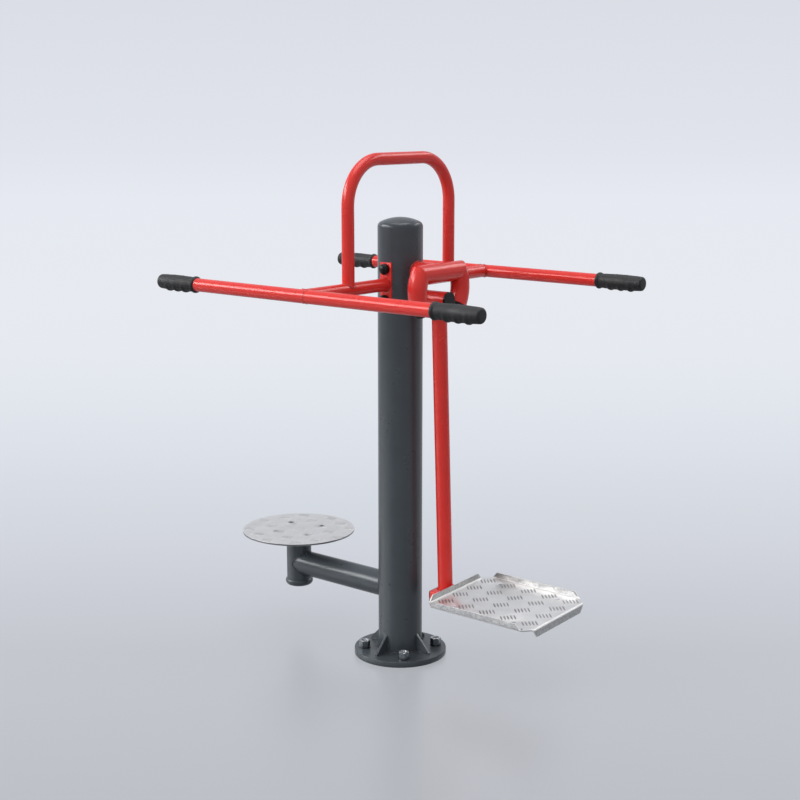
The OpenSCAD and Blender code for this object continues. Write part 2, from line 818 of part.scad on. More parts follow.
module handle_bolts() {
    head_y = saddle_r + bolt_washer_t + bolt_head_h;
    end_y = saddle_r + bolt_washer_t + bolt_nut_h + bolt_proud;
    color(steel_colour) for (level = [-1, 1]) {
        at_bolt(1, level) {
            translate([0, 0, -head_y]) hexagon(bolt_af, bolt_head_h);
            translate([0, 0, -head_y]) cylinder(d = bolt_d, h = head_y + end_y);
        }
    }
}

module handle_nuts() {
    color(steel_colour) for (level = [-1, 1]) {
        at_bolt(1, level) translate([0, 0, saddle_r + bolt_washer_t]) difference() {
            hexagon(bolt_af, bolt_nut_h);
            translate([0, 0, -cut]) cylinder(d = bolt_d, h = bolt_nut_h + 2 * cut);
        }
    }
}

// Washers whose undersides follow the saddle plates
module handle_bolt_washers() {
    color(steel_colour) difference() {
        for (side = [-1, 1], level = [-1, 1]) {
            at_bolt(side, level) translate([0, 0, post_r])
                tube(bolt_washer_d, bolt_d, saddle_t + bolt_washer_t);
        }
        translate([0, 0, handle_z - saddle_h]) cylinder(r = saddle_r, h = 2 * saddle_h);
    }
}

// Half of a cover's section, of the given size, from its skirt to its dome
module bolt_cap_section(r, sphere_r) {
    intersection() {
        translate([0, saddle_r + bolt_cap_h - bolt_cap_sphere_r]) circle(r = sphere_r);
        translate([0, saddle_r - bolt_cap_skirt]) square([r, bolt_cap_h + bolt_cap_skirt]);
    }
}

module handle_bolt_caps() {
    color(black_colour) difference() {
        for (side = [-1, 1], level = [-1, 1]) {
            at_bolt(side, level) rotate_extrude() difference() {
                bolt_cap_section(bolt_cap_d / 2, bolt_cap_sphere_r);
                bolt_cap_section(bolt_cap_d / 2 - bolt_cap_wall, bolt_cap_sphere_r - bolt_cap_wall);
            }
        }
        translate([0, 0, handle_z - saddle_h]) cylinder(r = saddle_r, h = 2 * saddle_h);
    }
}

module bow_arm() {
    color(red_colour) difference() {
        translate([0, 0, bow_z]) rotate([0, 90, 0])
            tube(bow_arm_d, bow_arm_d - 2 * bow_wall, bow_x);
        translate([0, 0, bow_z - bow_arm_d]) cylinder(d = post_d, h = 2 * bow_arm_d);
        translate([bow_x, -bow_arm_d, bow_z]) rotate([-90, 0, 0])
            cylinder(d = bow_d, h = 2 * bow_arm_d);
    }
}

// Block past one of the mitres: part is 1 for what lies outward of it and -1 for what lies inward
module past_mitre(part) {
    size = 3 * bow_d;
    translate([bow_x, bow_mitre_y, bow_z]) rotate([-(90 - bow_mitre_angle) / 2, 0, 0])
        translate([-size / 2, part > 0 ? 0 : -size, -size / 2]) cube(size);
}

module bow_top() {
    length = 2 * (bow_mitre_y + bow_d);
    color(red_colour) difference() {
        translate([bow_x, -length / 2, bow_z]) rotate([-90, 0, 0])
            tube(bow_d, bow_d - 2 * bow_wall, length);
        past_mitre(1);
        mirror([0, 1, 0]) past_mitre(1);
    }
}

// Curved side with a mitre at its top, drawn at +Y
module bow_side() {
    top_angle = bow_mitre_angle + asin(bow_d / (2 * bow_r));
    color(red_colour) difference() {
        translate([bow_x, 0, bow_curve_z]) rotate([-bow_end_angle, 0, 0]) rotate([0, -90, 0])
            rotate([0, 0, 90 - bow_end_angle - top_angle]) rotate_extrude(angle = bow_end_angle + top_angle)
                translate([bow_r, 0]) difference() {
                    circle(d = bow_d);
                    circle(d = bow_d - 2 * bow_wall);
                }
        past_mitre(-1);
    }
}

module bow_front_side() {
    mirror([0, 1, 0]) bow_side();
}

module bow_rear_side() {
    bow_side();
}

// Rubber stops in the open ends of the curved sides
module bow_bumpers() {
    color(black_colour) for (side = [0, 1]) {
        mirror([0, side, 0]) translate([bow_x, 0, bow_curve_z]) rotate([-bow_end_angle, 0, 0])
            translate([0, bow_r, 0]) {
                cylinder(r1 = bumper_plug_r, r2 = bumper_plug_end_r, h = bumper_plug_len);
                translate([0, 0, bumper_chamfer - bumper_len])
                    cylinder(d = bumper_d, h = bumper_len - bumper_chamfer);
                translate([0, 0, -bumper_len])
                    cylinder(d1 = bumper_d - 2 * bumper_chamfer, d2 = bumper_d, h = bumper_chamfer);
            }
    }
}

module axle_boss() {
    color(post_colour) difference() {
        on_axle(0) tube(hub_d, axle_d, boss_x1);
        translate([0, 0, pivot_z - hub_d]) cylinder(d = post_d, h = 2 * hub_d);
    }
}

module pendulum_axle() {
    seat_x = axle_washer_x - clamp_gap;
    color(steel_colour) {
        on_axle(axle_x0) cylinder(d = axle_d, h = seat_x - axle_x0);
        on_axle(boss_x1) cylinder(d = axle_collar_d, h = near_bearing_x - boss_x1);
        on_axle(seat_x) cylinder(d = tail_d, h = axle_nut_x + axle_nut_h + tail_proud - seat_x);
    }
}

module axle_bearing_inners() {
    color(steel_colour) for (x = [near_bearing_x, far_bearing_x]) {
        on_axle(x) tube(axle_inner_d, axle_d, axle_bearing_w);
    }
}

module axle_inner_spacer() {
    color(steel_colour) on_axle(axle_spacer_x)
        tube(axle_d + 2 * axle_spacer_wall, axle_d, axle_spacer_len);
}

module axle_washer() {
    color(steel_colour) on_axle(axle_washer_x) tube(axle_washer_d, tail_d, axle_washer_t);
}

module axle_nut() {
    color(steel_colour) on_axle(axle_nut_x) difference() {
        hexagon(tail_nut_af, axle_nut_h);
        translate([0, 0, -cut]) cylinder(d = tail_d, h = axle_nut_h + 2 * cut);
    }
}

module twister_disc() {
    color(tread_colour) difference() {
        on_spindle(disc_z) cylinder(d = disc_d, h = disc_t);
        at_disc_screws(disc_z + disc_t) countersunk_hole(disc_screw_d, disc_screw_head_d, disc_t);
    }
}

module turntable_hub() {
    collar_z = upper_bearing_z + spindle_bearing_w;
    seat_z = lower_bearing_z + clamp_gap;
    tail_z = spindle_nut_z - tail_proud;
    color(steel_colour) difference() {
        union() {
            on_spindle(hub_flange_z) cylinder(d = hub_flange_d, h = hub_flange_t);
            on_spindle(collar_z) cylinder(d = spindle_inner_d, h = hub_flange_z - collar_z);
            on_spindle(seat_z) cylinder(d = spindle_d, h = collar_z - seat_z);
            on_spindle(tail_z) cylinder(d = tail_d, h = seat_z - tail_z);
        }
        at_disc_screws(hub_flange_z - cut) cylinder(d = disc_screw_d, h = hub_flange_t + 2 * cut);
    }
}

module disc_screws() {
    color(steel_colour) at_disc_screws(disc_z + disc_t) countersunk_screw(
        disc_screw_d, disc_screw_head_d, disc_t + hub_flange_t, disc_socket_af, disc_socket_depth);
}

module twister_bearing_inners() {
    color(steel_colour) for (z = [lower_bearing_z, upper_bearing_z]) {
        on_spindle(z) tube(spindle_inner_d, spindle_d, spindle_bearing_w);
    }
}

module spindle_spacer() {
    color(steel_colour) on_spindle(spindle_spacer_z)
        tube(spindle_d + 2 * spindle_spacer_wall, spindle_d, spindle_spacer_len);
}

module spindle_washer() {
    color(steel_colour) on_spindle(lower_bearing_z - spindle_washer_t)
        tube(spindle_washer_d, tail_d, spindle_washer_t);
}

module spindle_nut() {
    color(steel_colour) on_spindle(spindle_nut_z) difference() {
        hexagon(tail_nut_af, spindle_nut_h);
        translate([0, 0, -cut]) cylinder(d = tail_d, h = spindle_nut_h + 2 * cut);
    }
}

module pendulum_hub() {
    color(red_colour) swung() difference() {
        on_axle(hub_x0) tube(hub_d, axle_race_bore, hub_x1 - hub_x0);
        on_axle(near_bearing_x) cylinder(d = axle_bearing_d, h = hub_x1 - near_bearing_x + cut);
    }
}

module pendulum_hub_cap() {
    spigot_x = hub_x1 - hub_spigot_len;
    edge_r = hub_d / 2 - hub_cap_round;
    color(black_colour) swung() difference() {
        union() {
            on_axle(spigot_x) cylinder(d = axle_bearing_d, h = hub_spigot_len + cut);
            on_axle(hub_x1) rotate_extrude() {
                square([hub_d / 2, hub_cap_t - hub_cap_round]);
                square([edge_r, hub_cap_t]);
                translate([edge_r, hub_cap_t - hub_cap_round]) circle(r = hub_cap_round);
            }
        }
        on_axle(spigot_x - cut)
            cylinder(d = axle_race_bore, h = hub_spigot_len + hub_cap_t - hub_cap_face + cut);
    }
}

module pendulum_bearing_outers() {
    color(steel_colour) swung() for (x = [near_bearing_x, far_bearing_x]) {
        on_axle(x) bearing_outer(axle_bearing_d, axle_bearing_w, axle_outer_race_t, axle_inner_d);
    }
}

module pendulum_outer_spacer() {
    color(steel_colour) swung() on_axle(axle_spacer_x)
        tube(axle_bearing_d, axle_bearing_d - 2 * axle_spacer_wall, axle_spacer_len);
}

module pendulum_leg() {
    color(red_colour) swung() difference() {
        translate([bow_x, 0, step_z]) tube(leg_d, leg_d - 2 * leg_wall, leg_len);
        on_axle(bow_x - leg_d) cylinder(d = hub_d, h = 2 * leg_d);
    }
}

// Box section's outline, laid so that an extrusion runs along +X with its top at the beam's top
module along_beam(x) {
    translate([x, 0, step_z - beam_h / 2]) rotate([90, 0, 90]) children();
}

module step_beam() {
    color(red_colour) swung() along_beam(beam_x0) linear_extrude(beam_x1 - beam_x0) difference() {
        round_rect(beam_w, beam_h, beam_corner_r);
        round_rect(beam_w - 2 * beam_wall, beam_h - 2 * beam_wall, beam_corner_r - beam_wall);
    }
}

module step_beam_plugs() {
    wall = beam_wall + spigot_fit;
    color(black_colour) swung() for (x = [beam_x0, beam_x1]) {
        inward = x == beam_x0 ? 1 : 0;
        along_beam(x - inward * plug_t) linear_extrude(plug_t)
            round_rect(beam_w, beam_h, beam_corner_r);
        along_beam(x - (1 - inward) * plug_depth) linear_extrude(plug_depth)
            round_rect(beam_w - 2 * wall, beam_h - 2 * wall, beam_corner_r - wall);
    }
}

module step_outriggers() {
    length = outrigger_y1 - beam_w / 2;
    color(red_colour) swung() difference() {
        for (x = outrigger_xs, side = [-1, 1]) {
            translate([x - outrigger_w / 2, side > 0 ? beam_w / 2 : -outrigger_y1, step_z - outrigger_t])
                cube([outrigger_w, length, outrigger_t]);
        }
        at_step_screws(step_z - outrigger_t - cut)
            cylinder(d = step_screw_d, h = outrigger_t + 2 * cut);
    }
}

// Folded edge as an upright sheet: its outline runs along the fold and slopes in toward its free side
module folded_edge(fold_len, height) {
    half = fold_len / 2;
    rotate([90, 0, 0]) linear_extrude(plate_t)
        polygon([[-half, 0], [half, 0], [half - lip_slope, height], [lip_slope - half, height]]);
}

module footplate() {
    half = plate_w / 2;
    middle_x = (plate_x0 + plate_x1) / 2;
    side_fold = plate_len - 2 * plate_corner;
    end_fold = plate_w - 2 * plate_corner;
    color(tread_colour) swung() difference() {
        union() {
            translate([0, 0, step_z]) linear_extrude(plate_t) polygon([
                [plate_x0 + plate_corner, -half], [plate_x1 - plate_corner, -half],
                [plate_x1, plate_corner - half], [plate_x1, half - plate_corner],
                [plate_x1 - plate_corner, half], [plate_x0 + plate_corner, half],
                [plate_x0, half - plate_corner], [plate_x0, plate_corner - half]
            ]);
            translate([middle_x, plate_t - half, step_z]) folded_edge(side_fold, plate_t + lip_up);
            translate([middle_x, half, step_z]) folded_edge(side_fold, plate_t + lip_up);
            translate([plate_x0, 0, step_z]) rotate([0, 0, 90])
                folded_edge(end_fold, plate_t + lip_up);
            translate([plate_x1, 0, tread_z]) rotate([180, 0, 90])
                folded_edge(end_fold, plate_t + lip_down);
        }
        at_step_screws(tread_z) countersunk_hole(step_screw_d, step_screw_head_d, plate_t);
    }
}

module step_screws() {
    length = plate_t + outrigger_t + step_nut_h + step_screw_proud;
    color(steel_colour) swung() at_step_screws(tread_z) countersunk_screw(
        step_screw_d, step_screw_head_d, length, step_socket_af, step_socket_depth);
}

module step_nuts() {
    color(steel_colour) swung() at_step_screws(step_z - outrigger_t - step_nut_h) difference() {
        hexagon(step_nut_af, step_nut_h);
        translate([0, 0, -cut]) cylinder(d = step_screw_d, h = step_nut_h + 2 * cut);
    }
}

base_flange();
base_gussets();
anchor_washers();
anchor_nuts();
post_tube();
post_cap();
twister_arm();
twister_sleeve();
sleeve_bottom_cap();
twister_bearing_outers();
twister_outer_spacer();
twister_circlips();
front_saddle();
rear_saddle();
front_stem();
rear_stem();
front_bar_left();
front_bar_right();
rear_bar_left();
rear_bar_right();
top_loop();
front_left_grip();
front_right_grip();
rear_left_grip();
rear_right_grip();
handle_bolts();
handle_nuts();
handle_bolt_washers();
handle_bolt_caps();
bow_arm();
bow_top();
bow_front_side();
bow_rear_side();
bow_bumpers();
axle_boss();
pendulum_axle();
axle_bearing_inners();
axle_inner_spacer();
axle_washer();
axle_nut();
twister_disc();
turntable_hub();
disc_screws();
twister_bearing_inners();
spindle_spacer();
spindle_washer();
spindle_nut();
pendulum_hub();
pendulum_hub_cap();
pendulum_bearing_outers();
pendulum_outer_spacer();
pendulum_leg();
step_beam();
step_beam_plugs();
step_outriggers();
footplate();
step_screws();
step_nuts();
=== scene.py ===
import math

import bmesh
import bpy
from mathutils import Matrix, Vector


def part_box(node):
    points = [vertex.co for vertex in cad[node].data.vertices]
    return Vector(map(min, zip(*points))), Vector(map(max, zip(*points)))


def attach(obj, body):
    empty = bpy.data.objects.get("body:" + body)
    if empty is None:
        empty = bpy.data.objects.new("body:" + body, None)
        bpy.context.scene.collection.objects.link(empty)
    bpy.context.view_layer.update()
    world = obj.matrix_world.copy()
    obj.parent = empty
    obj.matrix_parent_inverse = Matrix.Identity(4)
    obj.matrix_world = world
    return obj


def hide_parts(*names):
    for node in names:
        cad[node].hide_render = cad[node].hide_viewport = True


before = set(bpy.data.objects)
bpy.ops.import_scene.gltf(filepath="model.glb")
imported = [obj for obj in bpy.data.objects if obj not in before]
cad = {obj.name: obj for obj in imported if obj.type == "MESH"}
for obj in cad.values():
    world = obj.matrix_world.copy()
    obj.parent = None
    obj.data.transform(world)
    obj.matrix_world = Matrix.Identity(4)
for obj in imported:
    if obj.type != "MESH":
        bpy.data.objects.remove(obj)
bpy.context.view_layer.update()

# Looks of an outdoor gym station: powder-coated steel tubes, rubber grips and tread-plate steps.
# Everything is in metres, in the frame of the CAD part.

MM = 0.001
X = Vector((1, 0, 0))
Y = Vector((0, 1, 0))
Z = Vector((0, 0, 1))

# Sizes read from the CAD part
flange_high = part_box("base_flange")[1]
post_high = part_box("post_tube")[1]
saddle_low, saddle_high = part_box("front_saddle")
stem_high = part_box("front_stem")[1]
front_bar_low, front_bar_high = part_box("front_bar_right")
loop_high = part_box("top_loop")[1]
arm_low, arm_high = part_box("twister_arm")
sleeve_low, sleeve_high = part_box("twister_sleeve")
disc_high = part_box("twister_disc")[1]
bow_arm_low, bow_arm_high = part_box("bow_arm")
bow_top_low, bow_top_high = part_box("bow_top")
boss_low, boss_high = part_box("axle_boss")
gusset_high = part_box("base_gussets")[1]
nut_low, nut_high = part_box("anchor_nuts")

POST_R = post_high.x
FLANGE_TOP = flange_high.z
SADDLE_R = -saddle_low.y
HANDLE_Z = (saddle_low.z + saddle_high.z) / 2
STEM_R = stem_high.x
BAR_R = (front_bar_high.z - front_bar_low.z) / 2
BAR_Y = -(front_bar_low.y + front_bar_high.y) / 2
RING_X = front_bar_low.x
LOOP_R = loop_high.x
LOOP_Y = loop_high.y - LOOP_R
ARM_R = arm_high.y
ARM_Z = (arm_low.z + arm_high.z) / 2
SLEEVE_R = sleeve_high.y
SLEEVE_X = (sleeve_low.x + sleeve_high.x) / 2
DISC_R = disc_high.y
DISC_TOP = disc_high.z
BOW_ARM_R = bow_arm_high.y
BOW_Z = (bow_arm_low.z + bow_arm_high.z) / 2
BOW_X = (bow_top_low.x + bow_top_high.x) / 2
BOW_R = (bow_top_high.x - bow_top_low.x) / 2
HUB_R = boss_high.y
PIVOT_Z = (boss_low.z + boss_high.z) / 2

# The leg is stored with a small swing about the pivot
SWING = math.radians(2.5)
LEG_R = 23.5 * MM
LEG_DROP = 923 * MM
PIVOT = Vector((0, 0, PIVOT_Z))
swung = Matrix.Translation(PIVOT) @ Matrix.Rotation(SWING, 4, "X") @ Matrix.Translation(-PIVOT)


# Pieces from mesh code
def add_object(name, data):
    thing = bpy.data.objects.new(name, data)
    bpy.context.scene.collection.objects.link(thing)
    return thing


def piece_from(name, verts, faces, finish, body, place=None, crease=40):
    """A closed mesh that rides on a CAD body, smooth except across creases sharper than the angle."""
    mesh = bpy.data.meshes.new(name)
    mesh.from_pydata([tuple(v) for v in verts], [], faces)
    if place is not None:
        mesh.transform(place)
    build = bmesh.new()
    build.from_mesh(mesh)
    bmesh.ops.recalc_face_normals(build, faces=build.faces)
    build.to_mesh(mesh)
    build.free()
    mesh.shade_smooth()
    mesh.set_sharp_from_angle(angle=math.radians(crease))
    mesh.materials.append(finish)
    piece = add_object(name, mesh)
    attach(piece, body)
    return piece


def settle(piece, crease=40):
    """Takes the piece's modifiers into its mesh and shades it again."""
    bpy.context.view_layer.update()
    graph = bpy.context.evaluated_depsgraph_get()
    shaped = bpy.data.meshes.new_from_object(piece.evaluated_get(graph))
    piece.modifiers.clear()
    piece.data = shaped
    shaped.shade_smooth()
    shaped.set_sharp_from_angle(angle=math.radians(crease))


def turns_round(steps):
    """Equal turns about a circle, in radians."""
    return [2 * math.pi * i / steps for i in range(steps)]


def rings_to_faces(ring_count, ring_size, closed_along):
    """Quads between rings of points; closed_along joins the last ring to the first."""
    faces = []
    for i in range(ring_count if closed_along else ring_count - 1):
        a = i * ring_size
        b = (i + 1) % ring_count * ring_size
        for k in range(ring_size):
            m = (k + 1) % ring_size
            faces.append((a + k, a + m, b + m, b + k))
    return faces


# Weld beads
BEAD_SIDES = 10
RIPPLE_PITCH = 3.4 * MM
RIPPLE_STEP = 0.8 * MM
RIPPLE_DEPTH = 0.13
END_SWELL = 0.35
END_STEPS = 3


def bead(verts, faces, path, outs, radius, closed):
    """Adds a rippled weld bead along a path; outs point away from the joint's middle."""
    start = len(verts)
    count = len(path)
    run = 0.0
    for i, (point, out) in enumerate(zip(path, outs)):
        before = path[(i - 1) % count] if closed or i > 0 else point
        after = path[(i + 1) % count] if closed or i < count - 1 else point
        along = (after - before).normalized()
        up = along.cross(out).normalized()
        across = up.cross(along).normalized()
        phase = run / RIPPLE_PITCH * 2 * math.pi
        swell = radius * (1 + RIPPLE_DEPTH * math.sin(phase))
        if not closed:
            swell *= min(1.0, END_SWELL + (1 - END_SWELL) * min(i, count - 1 - i) / END_STEPS)
        for turn in turns_round(BEAD_SIDES):
            verts.append(point + across * (swell * math.cos(turn)) + up * (swell * math.sin(turn)))
        run += (after - point).length
    for face in rings_to_faces(count, BEAD_SIDES, closed):
        faces.append(tuple(start + k for k in face))
    if not closed:
        faces.append(tuple(start + k for k in range(BEAD_SIDES)))
        last = start + (count - 1) * BEAD_SIDES
        faces.append(tuple(last + k for k in reversed(range(BEAD_SIDES))))


def steps_round(radius):
    """Points round a circle so that a whole number of ripples fits."""
    ripples = max(8, round(2 * math.pi * radius / RIPPLE_PITCH))
    return ripples * round(RIPPLE_PITCH / RIPPLE_STEP)


def saddle_path(origin, branch, main, branch_r, main_r):
    """Where a round branch meets a round main tube whose axis passes through the origin."""
    side = branch.cross(main)
    path = []
    outs = []
    for turn in turns_round(steps_round(branch_r)):
        along = branch_r * math.cos(turn)
        aside = branch_r * math.sin(turn)
        reach = math.sqrt(max(main_r ** 2 - aside ** 2, 0.0))
        path.append(origin + main * along + side * aside + branch * reach)
        outs.append((main * math.cos(turn) + side * math.sin(turn)).normalized())
    return path, outs


def circle_path(centre, axis, radius):
    first = axis.orthogonal().normalized()
    second = axis.cross(first)
    path = []
    outs = []
    for turn in turns_round(steps_round(radius)):
        out = first * math.cos(turn) + second * math.sin(turn)
        path.append(centre + out * radius)
        outs.append(out)
    return path, outs


def line_path(start, end, out):
    steps = max(6, round((end - start).length / RIPPLE_STEP))
    path = [start.lerp(end, i / steps) for i in range(steps + 1)]
    return path, [out] * (steps + 1)


def weld(name, joints, slot, body="frame", place=None, closed=True):
    """One piece for the beads of a joint: joints are ((path, outs), radius)."""
    verts = []
    faces = []
    for (path, outs), radius in joints:
        bead(verts, faces, path, outs, radius, closed)
    # The beads take the darker seam coats: painted crease shade.
    piece_from(name, verts, faces, seam_painted_shade[slot], body, place, crease=80)


# Shared effects
COLOUR = "NodeSocketColor"
NUMBER = "NodeSocketFloat"


def new_group(name, inputs, outputs):
    """A node group with named sockets: inputs are (name, kind, value), outputs are (name, kind)."""
    tree = bpy.data.node_groups.new(name, "ShaderNodeTree")
    for title, kind, value in inputs:
        socket = tree.interface.new_socket(title, in_out="INPUT", socket_type=kind)
        socket.default_value = value
    for title, kind in outputs:
        tree.interface.new_socket(title, in_out="OUTPUT", socket_type=kind)
    return tree, tree.nodes.new("NodeGroupInput"), tree.nodes.new("NodeGroupOutput")


def feed(tree, socket, value):
    """Links a socket to the one that gives its value, or sets it to a plain value."""
    if isinstance(value, bpy.types.NodeSocket):
        tree.links.new(value, socket)
    else:
        socket.default_value = value


def math_node(tree, operation, a, b=0.0):
    node = tree.nodes.new("ShaderNodeMath")
    node.operation = operation
    feed(tree, node.inputs[0], a)
    feed(tree, node.inputs[1], b)
    return node.outputs[0]


def product_along(tree, vector, direction):
    """Dot product of a vector with a fixed direction or with another vector."""
    node = tree.nodes.new("ShaderNodeVectorMath")
    node.operation = "DOT_PRODUCT"
    tree.links.new(vector, node.inputs[0])
    feed(tree, node.inputs[1], direction)
    return node.outputs["Value"]


def upward(tree, vector):
    split = tree.nodes.new("ShaderNodeSeparateXYZ")
    tree.links.new(vector, split.inputs[0])
    return split.outputs["Z"]


def surface_normal(tree):
    return tree.nodes.new("ShaderNodeNewGeometry").outputs["Normal"]


def object_place(tree):
    return tree.nodes.new("ShaderNodeTexCoord").outputs["Object"]


def noise(tree, cells, detail, roughness):
    """Noise in the object's own coordinates; cells is a socket or a number of cells per metre."""
    node = tree.nodes.new("ShaderNodeTexNoise")
    node.inputs["Detail"].default_value = detail
    node.inputs["Roughness"].default_value = roughness
    tree.links.new(object_place(tree), node.inputs["Vector"])
    feed(tree, node.inputs["Scale"], cells)
    return node.outputs["Fac"]


def spread(tree, value, low, high, to_low=0.0, to_high=1.0):
    """Stretches the values from low to high over the range from to_low to to_high, and stops there."""
    node = tree.nodes.new("ShaderNodeMapRange")
    node.clamp = True
    amounts = {"Value": value, "From Min": low, "From Max": high, "To Min": to_low, "To Max": to_high}
    for title, amount in amounts.items():
        feed(tree, node.inputs[title], amount)
    return node.outputs["Result"]


def blend_colour(tree, factor, first, second, how="MIX"):
    node = tree.nodes.new("ShaderNodeMix")
    node.data_type = "RGBA"
    node.blend_type = how
    for index, value in ((0, factor), (6, first), (7, second)):
        feed(tree, node.inputs[index], value)
    return node.outputs[2]


def make_tone_drift():
    """Slow, cloudy change between two tones of one colour."""
    tree, given, out = new_group(
        "tone_drift",
        [("Tone A", COLOUR, (1, 1, 1, 1)), ("Tone B", COLOUR, (0, 0, 0, 1)),
         ("Cells", NUMBER, 7.0)],
        [("Colour", COLOUR)])
    cloud = noise(tree, given.outputs["Cells"], detail=3.0, roughness=0.6)
    mask = spread(tree, cloud, 0.32, 0.68)
    colour = blend_colour(tree, mask, given.outputs["Tone A"], given.outputs["Tone B"])
    tree.links.new(colour, out.inputs["Colour"])
    return tree


def make_orange_peel():
    """Skin of a powder coat: soft dimples, and gloss that changes a little with them."""
    tree, given, out = new_group(
        "orange_peel",
        [("Cells", NUMBER, 420.0), ("Gloss low", NUMBER, 0.25),
         ("Gloss high", NUMBER, 0.35)],
        [("Height", NUMBER), ("Roughness", NUMBER)])
    dimples = noise(tree, given.outputs["Cells"], detail=1.0, roughness=0.4)
    handling = noise(tree, 11.0, detail=4.0, roughness=0.65)
    rough = spread(tree, handling, 0.3, 0.7, given.outputs["Gloss low"], given.outputs["Gloss high"])
    tree.links.new(dimples, out.inputs["Height"])
    tree.links.new(rough, out.inputs["Roughness"])
    return tree


def make_dust_film():
    """Thin dust that settles on what faces up."""
    tree, given, out = new_group(
        "dust_film",
        [("Colour", COLOUR, (1, 1, 1, 1)), ("Dust", COLOUR, (0.5, 0.5, 0.5, 1)),
         ("Amount", NUMBER, 0.05)],
        [("Colour", COLOUR)])
    up = spread(tree, upward(tree, surface_normal(tree)), 0.35, 0.95)
    patches = spread(tree, noise(tree, 26.0, detail=5.0, roughness=0.7), 0.4, 0.7)
    covered = math_node(tree, "MULTIPLY", up, patches)
    amount = math_node(tree, "MULTIPLY", covered, given.outputs["Amount"])
    colour = blend_colour(tree, amount, given.outputs["Colour"], given.outputs["Dust"])
    tree.links.new(colour, out.inputs["Colour"])
    return tree


def make_edge_wear_and_highlight():
    """Edges a little lighter, broken up by fine noise: partly wear, partly a painted edge highlight."""
    tree, given, out = new_group(
        "edge_wear_and_highlight",
        [("Colour", COLOUR, (1, 1, 1, 1)), ("Rubbed", COLOUR, (1, 1, 1, 1)),
         ("Width", NUMBER, 0.001), ("Amount", NUMBER, 0.5)],
        [("Colour", COLOUR)])
    rounded = tree.nodes.new("ShaderNodeBevel")
    rounded.samples = 3
    tree.links.new(given.outputs["Width"], rounded.inputs["Radius"])
    agreement = product_along(tree, rounded.outputs["Normal"], surface_normal(tree))
    edge = spread(tree, agreement, 0.995, 0.90)
    breakup = spread(tree, noise(tree, 160.0, detail=4.0, roughness=0.7), 0.35, 0.65)
    edge_mark = math_node(tree, "MULTIPLY", edge, breakup)
    amount = math_node(tree, "MULTIPLY", edge_mark, given.outputs["Amount"])
    colour = blend_colour(tree, amount, given.outputs["Colour"], given.outputs["Rubbed"])
    tree.links.new(colour, out.inputs["Colour"])
    return tree


def make_fine_grain():
    """Fine even grain, as on moulded rubber or rolled metal, and roughness that drifts."""
    tree, given, out = new_group(
        "fine_grain",
        [("Cells", NUMBER, 900.0), ("Rough low", NUMBER, 0.5),
         ("Rough high", NUMBER, 0.7)],
        [("Height", NUMBER), ("Roughness", NUMBER)])
    grain = noise(tree, given.outputs["Cells"], detail=3.0, roughness=0.6)
    smears = noise(tree, 18.0, detail=4.0, roughness=0.6)
    rough = spread(tree, smears, 0.3, 0.7, given.outputs["Rough low"], given.outputs["Rough high"])
    tree.links.new(grain, out.inputs["Height"])
    tree.links.new(rough, out.inputs["Roughness"])
    return tree


def make_painted_shade_upright():
    """Painted shade on upright faces, such as folded edges: darker, mottled tones; Fold marks the bends
    between.
    """
    tree, given, out = new_group(
        "painted_shade_upright",
        [("Colour", COLOUR, (1, 1, 1, 1)), ("Sides A", COLOUR, (0.4, 0.4, 0.4, 1)),
         ("Sides B", COLOUR, (0.3, 0.3, 0.3, 1))],
        [("Colour", COLOUR), ("Fold", NUMBER)])
    flat = math_node(tree, "ABSOLUTE", upward(tree, surface_normal(tree)))
    upright = spread(tree, flat, 0.35, 0.2)
    spots = spread(tree, noise(tree, 150.0, detail=5.0, roughness=0.7), 0.38, 0.62)
    sides = blend_colour(tree, spots, given.outputs["Sides A"], given.outputs["Sides B"])
    colour = blend_colour(tree, upright, given.outputs["Colour"], sides)
    tree.links.new(colour, out.inputs["Colour"])
    steep = spread(tree, flat, 0.25, 0.4)
    fold = math_node(tree, "MULTIPLY", steep, spread(tree, flat, 0.96, 0.85))
    tree.links.new(fold, out.inputs["Fold"])
    return tree


tone_drift = make_tone_drift()
painted_shade_upright = make_painted_shade_upright()
orange_peel = make_orange_peel()
dust_film = make_dust_film()
edge_wear_and_highlight = make_edge_wear_and_highlight()
fine_grain = make_fine_grain()


def rgb(red, green, blue):
    """A colour given as it looks on a screen, 0 to 255, in the shader's linear values."""
    def linear(part):
        part /= 255
        return part / 12.92 if part <= 0.04045 else ((part + 0.055) / 1.055) ** 2.4
    return (linear(red), linear(green), linear(blue), 1.0)


def use(tree, group, **values):
    """Places a shared group; values are numbers, colours or sockets, with _ for a space."""
    node = tree.nodes.new("ShaderNodeGroup")
    node.node_tree = group
    for title, value in values.items():
        feed(tree, node.inputs[title.replace("_", " ")], value)
    return node


def new_finish(name):
    finish = bpy.data.materials.new(name)
    finish.use_nodes = True
    tree = finish.node_tree
    shader = tree.nodes["Principled BSDF"]
    return finish, tree, shader


def bump(tree, shader, height, depth):
    node = tree.nodes.new("ShaderNodeBump")
    node.inputs["Strength"].default_value = 1.0
    node.inputs["Distance"].default_value = depth
    tree.links.new(height, node.inputs["Height"])
    tree.links.new(node.outputs["Normal"], shader.inputs["Normal"])


COAT_DUST = rgb(190, 188, 182)
RUBBER_DUST = rgb(150, 148, 144)
# Near-white edge tone of the bare metals: partly wear, partly a painted edge highlight.
BRIGHT_EDGE = rgb(250, 250, 250)
PEEL_CELLS = 420.0
PEEL_DEPTH = 0.06 * MM
FOLD_DULLS = 0.8


